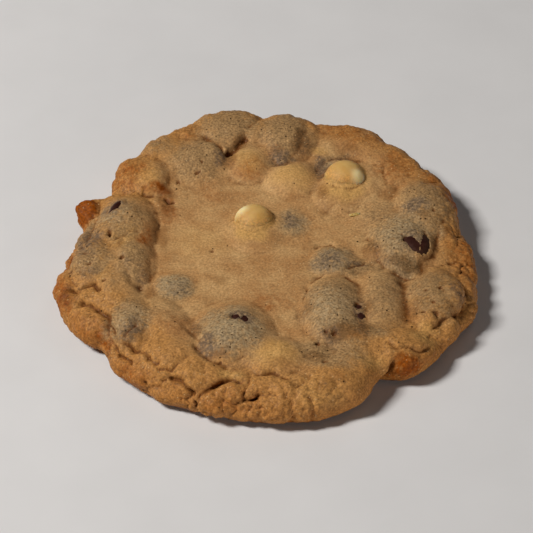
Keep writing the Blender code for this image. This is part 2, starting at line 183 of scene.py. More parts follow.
def feed_inputs(tree: Tree, node: bpy.types.Node, inputs: dict[Any, Any]) -> None:
    """Sets or links the inputs of a node.

    Args:
        tree: the node's tree.
        node: the node.
        inputs: by the input's name or number, a value or the output socket that feeds it.
    """
    for key, value in inputs.items():
        if isinstance(value, Socket):
            tree.links.new(value, node.inputs[key])
        else:
            node.inputs[key].default_value = value


def add_node(tree: Tree, kind: str, inputs: dict[Any, Any], output: str | int = 0, **settings: Any) -> Socket:
    """Adds a node with its settings and links.

    Args:
        tree: the material's node tree.
        kind: the node's type, without the ShaderNode in front.
        inputs: what feed_inputs takes.
        output: the name or number of the output that is wanted.
        settings: the node's own properties.

    Returns:
        That output's socket.
    """
    node = tree.nodes.new("ShaderNode" + kind)
    for name, value in settings.items():
        setattr(node, name, value)
    feed_inputs(tree, node, inputs)
    return node.outputs[output]


def mapping(source: tuple[Any, Any], target: Span) -> dict[str, Any]:
    """The inputs that make a map-range node take one span of values to another."""
    return {"From Min": source[0], "From Max": source[1], "To Min": target[0], "To Max": target[1]}


def new_material(name: str) -> tuple[bpy.types.Material, Tree, Socket]:
    """Starts a material.

    Args:
        name: what it is made of.

    Returns:
        The material, its node tree, and the coordinates that its patterns lie on.
    """
    material = bpy.data.materials.new(name)
    material.use_nodes = True
    return material, material.node_tree, add_node(material.node_tree, "TexCoord", {}, "Object")


def new_piece(name: str, sheet: bmesh.types.BMesh) -> bpy.types.Object:
    """Makes an object of a bmesh in millimetres.

    Args:
        name: the object's name.
        sheet: the bmesh, which is freed.

    Returns:
        The object, in metres and shaded smooth.
    """
    bmesh.ops.recalc_face_normals(sheet, faces=sheet.faces)
    bmesh.ops.scale(sheet, vec=(MM, MM, MM), verts=sheet.verts)
    mesh = bpy.data.meshes.new(name)
    sheet.to_mesh(mesh)
    sheet.free()
    mesh.shade_smooth()
    made = bpy.data.objects.new(name, mesh)
    bpy.context.scene.collection.objects.link(made)
    return made


def write_values(piece: bpy.types.Object, name: str, values: np.ndarray) -> None:
    """Keeps a value for each vertex of a piece, for its material to read.

    Args:
        piece: the object.
        name: the attribute's name.
        values: a value for each vertex.
    """
    layer = piece.data.attributes.new(name, "FLOAT", "POINT")
    layer.data.foreach_set("value", values.astype(np.float32))


# ---------------------------------------------------------------- the plain section
@dataclass(frozen=True)
class Section:
    """The cookie's plain section, before its relief, and its outline."""

    crown: float = 7.4  # height of the top
    waist: float = 3.0  # height of the widest level
    heel: float = 1.8  # how far the wall draws in below the waist
    heel_lift: float = 0.9  # height of the hem, where the heel ends
    foot_share: float = 0.8  # how far out the hem comes down to the floor, as a share of the waist's reach
    brim_rise: Span = (0.5, 0.92)  # where the brim rises, as shares of the way out to the shoulder
    # by bearing: reach of the waist, height of the brim over the crown, and width of the rounded shoulder
    spread: Table = (
        (-178, 45.6), (-173, 48.0), (-169, 48.8), (-163, 48.6), (-157, 48.3), (-151, 47.3), (-147, 45.8),
        (-144, 44.6), (-141, 45.6), (-135, 47.0), (-128, 47.3), (-121, 47.8), (-113, 48.1), (-108, 47.9),
        (-100, 48.2), (-91, 48.6), (-84, 49.0), (-77, 49.3), (-71, 48.6), (-65, 47.4), (-61, 45.6),
        (-58, 43.9), (-56, 43.1), (-53, 44.6), (-50, 46.5), (-46, 47.3), (-40, 47.8), (-35, 47.6),
        (-29, 47.8), (-24, 48.8), (-20, 49.5), (-14, 49.1), (-6, 48.0), (2, 47.5), (8, 46.6), (12, 46.4),
        (15, 46.2), (18, 47.0), (22, 48.2), (27, 49.2), (31, 49.6), (36, 49.2), (44, 49.8), (49, 50.0),
        (53, 49.8), (56, 51.2), (61, 51.8), (68, 50.8), (77, 49.0), (86, 49.2), (93, 49.2), (99, 50.8),
        (106, 51.4), (113, 50.0), (120, 48.8), (126, 48.9), (131, 47.4), (137, 46.8), (143, 44.6),
        (149, 43.2), (152, 44.6), (155, 47.3), (159, 47.3), (163, 44.6), (167, 43.5), (171, 43.9),
        (175, 45.0), (179, 45.9),
    )
    brim: Table = (
        (-180, 0.6), (-150, 0.2), (-120, 0.6), (-90, 0.9), (-60, 0.8), (-35, 0.4), (-10, 0.4), (15, 1.2),
        (40, 2.0), (70, 2.0), (95, 1.8), (125, 1.5), (145, 1.0), (160, 0.6),
    )
    shoulder: Table = (
        (-180, 8.5), (-150, 8.5), (-120, 7.5), (-90, 7.0), (-60, 7.0), (-35, 6.5), (-10, 5.5), (15, 4.8),
        (40, 4.6), (70, 4.6), (95, 4.6), (125, 5.0), (145, 6.5), (160, 8.0),
    )

    def read(self, table: Table, bearing: np.ndarray) -> np.ndarray:
        """Reads a table as a smooth closed curve.

        Args:
            table: pairs of a bearing in degrees and a value.
            bearing: where it is read, in radians.

        Returns:
            The curve's value at each bearing.
        """
        angles = np.array([point[0] for point in table], float)
        values = np.array([point[1] for point in table], float)
        angles = np.concatenate([angles - 360, angles, angles + 360])
        values = np.tile(values, 3)
        slopes = np.gradient(values, angles)
        degrees = (np.degrees(bearing) + 180) % 360 - 180
        left = np.searchsorted(angles, degrees, side="right") - 1
        step = angles[left + 1] - angles[left]
        t = (degrees - angles[left]) / step
        return (
            (2 * t**3 - 3 * t**2 + 1) * values[left]
            + (t**3 - 2 * t**2 + t) * step * slopes[left]
            + (3 * t**2 - 2 * t**3) * values[left + 1]
            + (t**3 - t**2) * step * slopes[left + 1]
        )

    def heel_length(self) -> float:
        """Length of the skin round the heel."""
        return float(quarter_length(self.heel, self.waist - self.heel_lift))

    def past_crown(self, skin: np.ndarray) -> np.ndarray:
        """Measures from where the top starts to round over.

        Args:
            skin: skin points, n by 2.

        Returns:
            How far each lies past that, and below 0 for those on the top.
        """
        bearing = np.arctan2(skin[:, 1], skin[:, 0])
        inner = self.read(self.spread, bearing) - self.read(self.shoulder, bearing)
        return np.hypot(skin[:, 0], skin[:, 1]) - inner

    def lower(self, skin: np.ndarray) -> np.ndarray:
        """Measures from the waist.

        Args:
            skin: skin points, n by 2.

        Returns:
            How far round the heel each lies, from 0 at the waist and above it to 1 at the hem.
        """
        bearing = np.arctan2(skin[:, 1], skin[:, 0])
        rounded = quarter_length(self.read(self.shoulder, bearing), self.crown - self.waist)
        return np.clip((self.past_crown(skin) - rounded) / self.heel_length(), 0, 1)

    def wrap(self, skin: np.ndarray) -> tuple[np.ndarray, np.ndarray]:
        """Lays flat skin points over the section.

        Args:
            skin: skin points, n by 2.

        Returns:
            Their places, and the way out of the surface at each.
        """
        bearing = np.arctan2(skin[:, 1], skin[:, 0])
        reach = np.hypot(skin[:, 0], skin[:, 1])
        waist = self.read(self.spread, bearing)
        shoulder = self.read(self.shoulder, bearing)
        rounded = quarter_length(shoulder, self.crown - self.waist)
        past = reach - (waist - shoulder)
        upper = np.clip(past / rounded, 0, 1) * math.pi / 2
        lower = np.clip((past - rounded) / self.heel_length(), 0, 1) * math.pi / 2
        past_heel = past - rounded - self.heel_length()
        hem = waist - self.heel - np.maximum(past_heel, 0)

        radius = np.where(past < 0, reach, waist - shoulder + shoulder * np.sin(upper))
        radius = np.where(lower > 0, waist - self.heel + self.heel * np.cos(lower), radius)
        radius = np.where(past_heel > 0, hem, radius)
        brim = self.read(self.brim, bearing) * smooth_step(*self.brim_rise, reach / (waist - shoulder))
        height = self.waist + (self.crown + brim - self.waist) * np.cos(upper)
        height = np.where(lower > 0, self.waist - (self.waist - self.heel_lift) * np.sin(lower), height)
        hem_share = (hem / waist - self.foot_share) / (1 - self.heel / waist - self.foot_share)
        height = np.where(past_heel > 0, self.heel_lift * smooth_step(0, 1, hem_share), height)

        outward = np.sin(upper) * np.cos(lower)
        upward = np.cos(upper) - np.sin(lower)
        place = np.stack([radius * np.cos(bearing), radius * np.sin(bearing), height], axis=1)
        way = np.stack([outward * np.cos(bearing), outward * np.sin(bearing), upward], axis=1)
        return place, way / np.linalg.norm(way, axis=1, keepdims=True)


# ---------------------------------------------------------------- what lies on the skin
@dataclass(frozen=True)
class Oval:
    """An oval on the skin, such as a swell or a pit, with its middle, half sizes and turn in degrees.

    The amount is its height or depth, or its strength, and soft is how softly that fades to its edge.
    """

    x: float
    y: float
    rx: float
    ry: float
    amount: float
    soft: float = 1.3
    turn: float = 0.0

    def inside(self, skin: np.ndarray) -> np.ndarray:
        """1 in the middle of the oval, falling to 0 at its edge."""
        along, across = rotated(skin[:, 0] - self.x, skin[:, 1] - self.y, -self.turn)
        return np.clip(1 - (along / self.rx) ** 2 - (across / self.ry) ** 2, 0, 1)

    def relief(self, skin: np.ndarray) -> np.ndarray:
        """Height of the swell, or depth of the pit, at each skin point."""
        return self.amount * self.inside(skin) ** self.soft


class Patch(Oval):
    """A patch of colour on the skin."""

    def strength(self, skin: np.ndarray) -> np.ndarray:
        """Strength of the colour at each skin point."""
        return self.amount * smooth_step(0, self.soft, self.inside(skin))


def ovals(kind: type[Oval], *rows: tuple[float, ...]) -> tuple[Any, ...]:
    """Makes ovals of one kind.

    Args:
        kind: Oval for swells and pits, or Patch.
        rows: for each oval its x, y, rx, ry and amount, and where they matter its soft and turn.

    Returns:
        The ovals, in the same order.
    """
    return tuple(kind(*row) for row in rows)


def strongest(patches: tuple[Patch, ...], skin: np.ndarray) -> np.ndarray:
    """Strength of the strongest patch at each skin point."""
    return np.max([patch.strength(skin) for patch in patches], axis=0)


@dataclass(frozen=True)
class Stroke:
    """A broken line on the skin, with a half width, and an amount such as a crease's depth."""

    path: tuple[tuple[float, float], ...]
    width: float
    amount: float = 1.0
    ends: float = 0.12  # the share of its length that each end tapers over
    least: float = 0.25  # what the taper leaves at the very ends
    narrowing: float = 0.9  # how much of its foot a crease's wall takes up
    steepness: float = 1.8  # how steeply that falls to the bottom

    def nearest(self, skin: np.ndarray) -> tuple[np.ndarray, np.ndarray]:
        """Measures skin points from the line.

        Args:
            skin: skin points, n by 2.

        Returns:
            The distance to the line, and how far along it the nearest point is, from 0 to 1.
        """
        points = np.array(self.path, float)
        lengths = np.linalg.norm(np.diff(points, axis=0), axis=1)
        starts = np.concatenate([[0.0], np.cumsum(lengths)])
        best = np.full(len(skin), np.inf)
        along = np.zeros(len(skin))
        for i, length in enumerate(lengths):
            way = (points[i + 1] - points[i]) / length
            t = np.clip((skin - points[i]) @ way, 0, length)
            gap = np.linalg.norm(skin - points[i] - t[:, None] * way, axis=1)
            nearer = gap < best
            # colour of its cleanest place, paler as a painted highlight
            best = np.where(nearer, gap, best)
            along = np.where(nearer, (starts[i] + t) / starts[-1], along)
        return best, along

    def taper(self, along: np.ndarray) -> np.ndarray:
        """1 along most of the line, falling to the least share at its ends."""
        full = smooth_step(0, self.ends, along) * smooth_step(0, self.ends, 1 - along)
        return full * (1 - self.least) + self.least

    def depth(self, skin: np.ndarray) -> np.ndarray:
        """Depth of a crease along the line.

        Args:
            skin: skin points, n by 2.

        Returns:
            Its depth at each.
        """
        gap, along = self.nearest(skin)
        wall = np.clip(1 - self.narrowing * gap / self.width, 0, 1) ** self.steepness
        return self.amount * self.taper(along) * wall


# ---------------------------------------------------------------- the chips
class Chocolate(Enum):
    """What a chip is made of, by the record's material slot."""

    WHITE = "white_chocolate"
    DARK = "dark_chocolate"


@dataclass(frozen=True)
class Drop:
    """A chip softened by the oven, and how the dough lies over it."""

    node: str  # the CAD node that it stands for
    kind: Chocolate
    rx: float
    ry: float
    dome: float  # height over its widest level
    bed: float  # depth below that
    turn: float
    openings: tuple[Stroke, ...] = ()  # breaks in the skin over it; without them its top is bare
    film: float = 0.14  # thickness of the dough over a chip with openings
    creep: float = 0.22  # how softly the dough thins out on it
    least_creep: float = 0.1  # the share of that at the chip's edge
    whole_creep: float = 0.5  # how far up the dome it is whole
    sink: float = 0.3  # how far the dough drops below its surface where it is bare
    torn: Span = (0.12, 0.02)  # the film's thickness where it starts to break, and where it is gone
    lip: float = 0.9  # width of an opening's sloping edge
    bare_highlight_middle: tuple[float, float] = (0.0, 0.0)  # middle of a painted highlight, where its top is also cleanest, in shares of rx and ry
    bare_highlight_span: Span = (0.62, 0.1)  # how far from there the clean top and its painted highlight start, and where they are full
    filmed_span: Span = (1.0, 0.62)  # how far up the dome its film of dough is gone, and is whole
    knob: float = 0.0  # height of what is left of its tip, under the painted highlight
    knob_reach: float = 0.5
    knob_steepness: float = 1.5
    unevenness: float = 0.025
    uneven_pitch: float = 1.7
    segments: int = 56
    rings: int = 30

    def middle(self) -> np.ndarray:
        """Reads the chip's place from its CAD node.

        Returns:
            Its middle in the measured plan, at its widest level.
        """
        low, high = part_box(self.node)
        x, y = (np.array(low)[:2] + np.array(high)[:2]) / 2 / MM + PLAN_CENTRE
        return np.array((x, y, high.z / MM - self.dome))

    def surface(self, plan: np.ndarray) -> np.ndarray:
        """Measures the dome.

        Args:
            plan: places in the measured plan, n by 2 or more.

        Returns:
            Its height over each, which is far below everything outside the chip.
        """
        middle = self.middle()
        along, across = rotated(plan[:, 0] - middle[0], plan[:, 1] - middle[1], -self.turn)
        inside = 1 - (along / self.rx) ** 2 - (across / self.ry) ** 2
        return np.where(inside > 0, middle[2] + self.dome * np.sqrt(np.clip(inside, 0, 1)), FAR_BELOW)

    def edge(self, skin: np.ndarray, ragged: np.ndarray) -> np.ndarray:
        """Measures from the edges of the openings.

        Args:
            skin: skin points, n by 2.
            ragged: how far the edges stray at each.

        Returns:
            How far outside the nearest opening each lies, and below 0 for those inside one.
        """
        gaps = []
        for opening in self.openings:
            gap, along = opening.nearest(skin)
            gaps.append(gap - opening.width * opening.taper(along))
        return np.min(gaps, axis=0) + ragged

    def cover(
        self, skin: np.ndarray, height: np.ndarray, surface: np.ndarray, ragged: np.ndarray
    ) -> np.ndarray:
        """Lays the dough over the chip.

        It creeps up the chip and thins out on it, or thins to a film all over it that the openings break.

        Args:
            skin: skin points over the chip.
            height: height of the dough there, before it meets the chip.
            surface: height of the chip there.
            ragged: how far the openings' edges stray.

        Returns:
            The dough's height over the chip.
        """
        least = self.film if self.openings else 0.0
        risen = (surface - self.middle()[2]) / self.dome
        creep = self.creep * np.clip(risen / self.whole_creep, self.least_creep, 1.0)
        film = least + creep * np.logaddexp(0, (height - surface - least) / creep)
        if not self.openings:
            return surface + film - self.sink * smooth_step(*self.torn, film)
        share = smooth_step(-self.lip / 2, self.lip / 2, self.edge(skin, ragged))
        opened = np.minimum(height, surface - self.sink)
        return opened + (surface + film - opened) * share

    def build(self, name: str) -> bpy.types.Object:
        """Makes the drop from a sphere with a round dome and a flatter bed.

        Args:
            name: the new object's name.

        Returns:
            The drop, standing for its CAD node.
        """
        drop = bmesh.new()
        bmesh.ops.create_uvsphere(drop, u_segments=self.segments, v_segments=self.rings, radius=1)
        middle = self.middle()
        levels = np.array([vert.co.z for vert in drop.verts])
        strays = np.array([math.dist(vert.co[:2], self.bare_highlight_middle) for vert in drop.verts])
        for vert, stray in zip(drop.verts, strays):
            x, y, z = vert.co
            pitch = self.uneven_pitch
            ripple = noise.noise(Vector((x * pitch + middle[0], y * pitch + middle[1], z * pitch)))
            uneven = 1 + self.unevenness * ripple
            along, across = rotated(x * self.rx * uneven, y * self.ry * uneven, self.turn)
            swollen = self.knob * max(1 - (stray / self.knob_reach) ** 2, 0) ** self.knob_steepness
            height = self.dome * z + swollen if z > 0 else self.bed * z
            vert.co = (*(middle[:2] - PLAN_CENTRE + (along, across)), middle[2] + height)
        made = new_piece(name, drop)
        write_values(made, "filmed", smooth_step(*self.filmed_span, levels))
        # bare: a painted highlight where the top is cleanest
        write_values(made, "bare", smooth_step(*self.bare_highlight_span, strays) * (levels > 0))
        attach(made, "root")
        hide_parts(self.node)
        return made


DROPS: dict[str, Drop] = {
    "white_drop_right": Drop(
        "white_chip_right", Chocolate.WHITE, 5.0, 5.0, 4.4, 3.2, 0.0,
        creep=0.4, bare_highlight_middle=(0.7, -0.48), knob=0.6,
    ),
    "white_drop_middle": Drop(
        "white_chip_middle", Chocolate.WHITE, 4.7, 4.9, 4.2, 3.0, 0.0,
        creep=0.4, bare_highlight_middle=(-0.7, 0.3), knob=0.2,
    ),
    "dark_drop_right": Drop(
        "dark_chip_right", Chocolate.DARK, 4.4, 5.2, 4.0, 3.4, -6.0,
        (
            Stroke(((31.1, 2.2), (32.3, 0.4), (33.4, -1.4), (34.2, -2.8)), 0.95, ends=0.25),
            Stroke(((36.1, 4.2), (36.2, 1.8), (35.9, -0.6), (35.0, -2.8)), 0.68, ends=0.2),
        ),
    ),
    "dark_drop_near_right": Drop(
        "dark_chip_near_right", Chocolate.DARK, 2.3, 4.6, 3.4, 3.0, 0.0,
        (
            Stroke(((19.9, -18.8), (20.2, -20.6)), 0.6, ends=0.3),
            Stroke(((20.6, -22.2), (20.7, -23.6)), 0.85, ends=0.3),
        ),
    ),
    "dark_drop_near": Drop(
        "dark_chip_near", Chocolate.DARK, 4.2, 3.6, 4.2, 3.0, 0.0,
        (
            Stroke(((-7.6, -24.0), (-6.0, -24.5)), 0.95, ends=0.3),
            Stroke(((-5.4, -25.0), (-3.9, -24.7)), 0.8, ends=0.3),
        ),
    ),
    "dark_drop_left": Drop(
        "dark_chip_left", Chocolate.DARK, 2.4, 4.6, 3.8, 3.0, -20.0,
        (Stroke(((-35.4, 10.6), (-34.4, 12.4), (-33.8, 14.0)), 0.9, ends=0.3),),
    ),
}


# ---------------------------------------------------------------- the relief
@dataclass(frozen=True)
class Lumps:
    """Rounded lumps round the rim, in a loose net, parted by cracks."""

    pitch: float
    push: float  # how far each is pushed off its place in a staggered net, in pitches
    seed: int
    slump: float  # how steeply a lump falls away from its middle
    crack_width: float
    crack_depth: float
    crack_steepness: float
    ring: Span = (30.0, 62.0)  # how far from the middle of the skin they lie
    net_reach: float = 73.0
    row_pitch: float = 0.87  # in pitches

    def middles(self) -> kdtree.KDTree:
        """Draws the lumps' middles.

        Returns:
            A tree that finds the nearest of them.
        """
        draw = random.Random(self.seed)
        most = round(self.net_reach / self.pitch)
        found = []
        for row in range(-most, most + 1):
            for column in range(-most, most + 1):
                x = self.pitch * (column + 0.5 * (row % 2)) + draw.uniform(-self.push, self.push) * self.pitch
                y = self.pitch * self.row_pitch * row + draw.uniform(-self.push, self.push) * self.pitch
                if self.ring[0] < math.hypot(x, y) < self.ring[1]:
                    found.append((x, y, 0.0))
        tree = kdtree.KDTree(len(found))
        for i, place in enumerate(found):
            tree.insert(place, i)
        tree.balance()
        return tree

    def depths(self, skin: np.ndarray) -> np.ndarray:
        """How far skin points lie below the lumps' middles.

        Args:
            skin: skin points, n by 2.

        Returns:
            For each the depth of the slump and that of the crack, n by 2.
        """
        tree = self.middles()
        found = []
        for x, y in skin:
            first, second = tree.find_n((x, y, 0.0), 2)
            parting = min((second[2] - first[2]) / self.crack_width, 1.0)
            crack = self.crack_depth * (1 - parting) ** self.crack_steepness
            found.append((self.slump * first[2] ** 2, crack))
        return np.array(found).reshape(-1, 2)


@dataclass(frozen=True)
class Grain:
    """Unevenness of one size, and how high it is everywhere and where the skin is rougher."""

    size: float
    octaves: int
    seed: float
    everywhere: float
    away: float  # what is added away from the calm middle
    rim: float  # on the rim
    crumbly: float  # on crumbly patches

    def height(
        self, skin: np.ndarray, away: np.ndarray, rim: np.ndarray, crumbly: np.ndarray
    ) -> np.ndarray:
        """Height at skin points that are so far away from the middle, on the rim and crumbly."""
        strength = self.everywhere + self.away * away + self.rim * rim + self.crumbly * crumbly
        return fractal_at(skin, self.size, self.octaves, self.seed) * strength


# where the skin breaks up into crumbs
CRUMBLES: tuple[Patch, ...] = ovals(
    Patch,
    (-31, 25, 7.6, 7, 1), (-19, 40, 6.6, 5.6, 1), (-41.4, 14.6, 4, 5, 0.8),
    (-33, 5, 7, 10, 0.9), (-40, 2, 5, 10, 0.9), (-30, -24, 8, 10, 0.6),
    (36, -17, 7.6, 9, 0.7), (43, -2, 7, 9, 0.9), (31, 25, 6.6, 6, 0.8),
    (28, -36, 7, 5, 0.9), (0, -44.5, 13, 5, 0.9), (15, -26, 8, 7, 0.4),
)


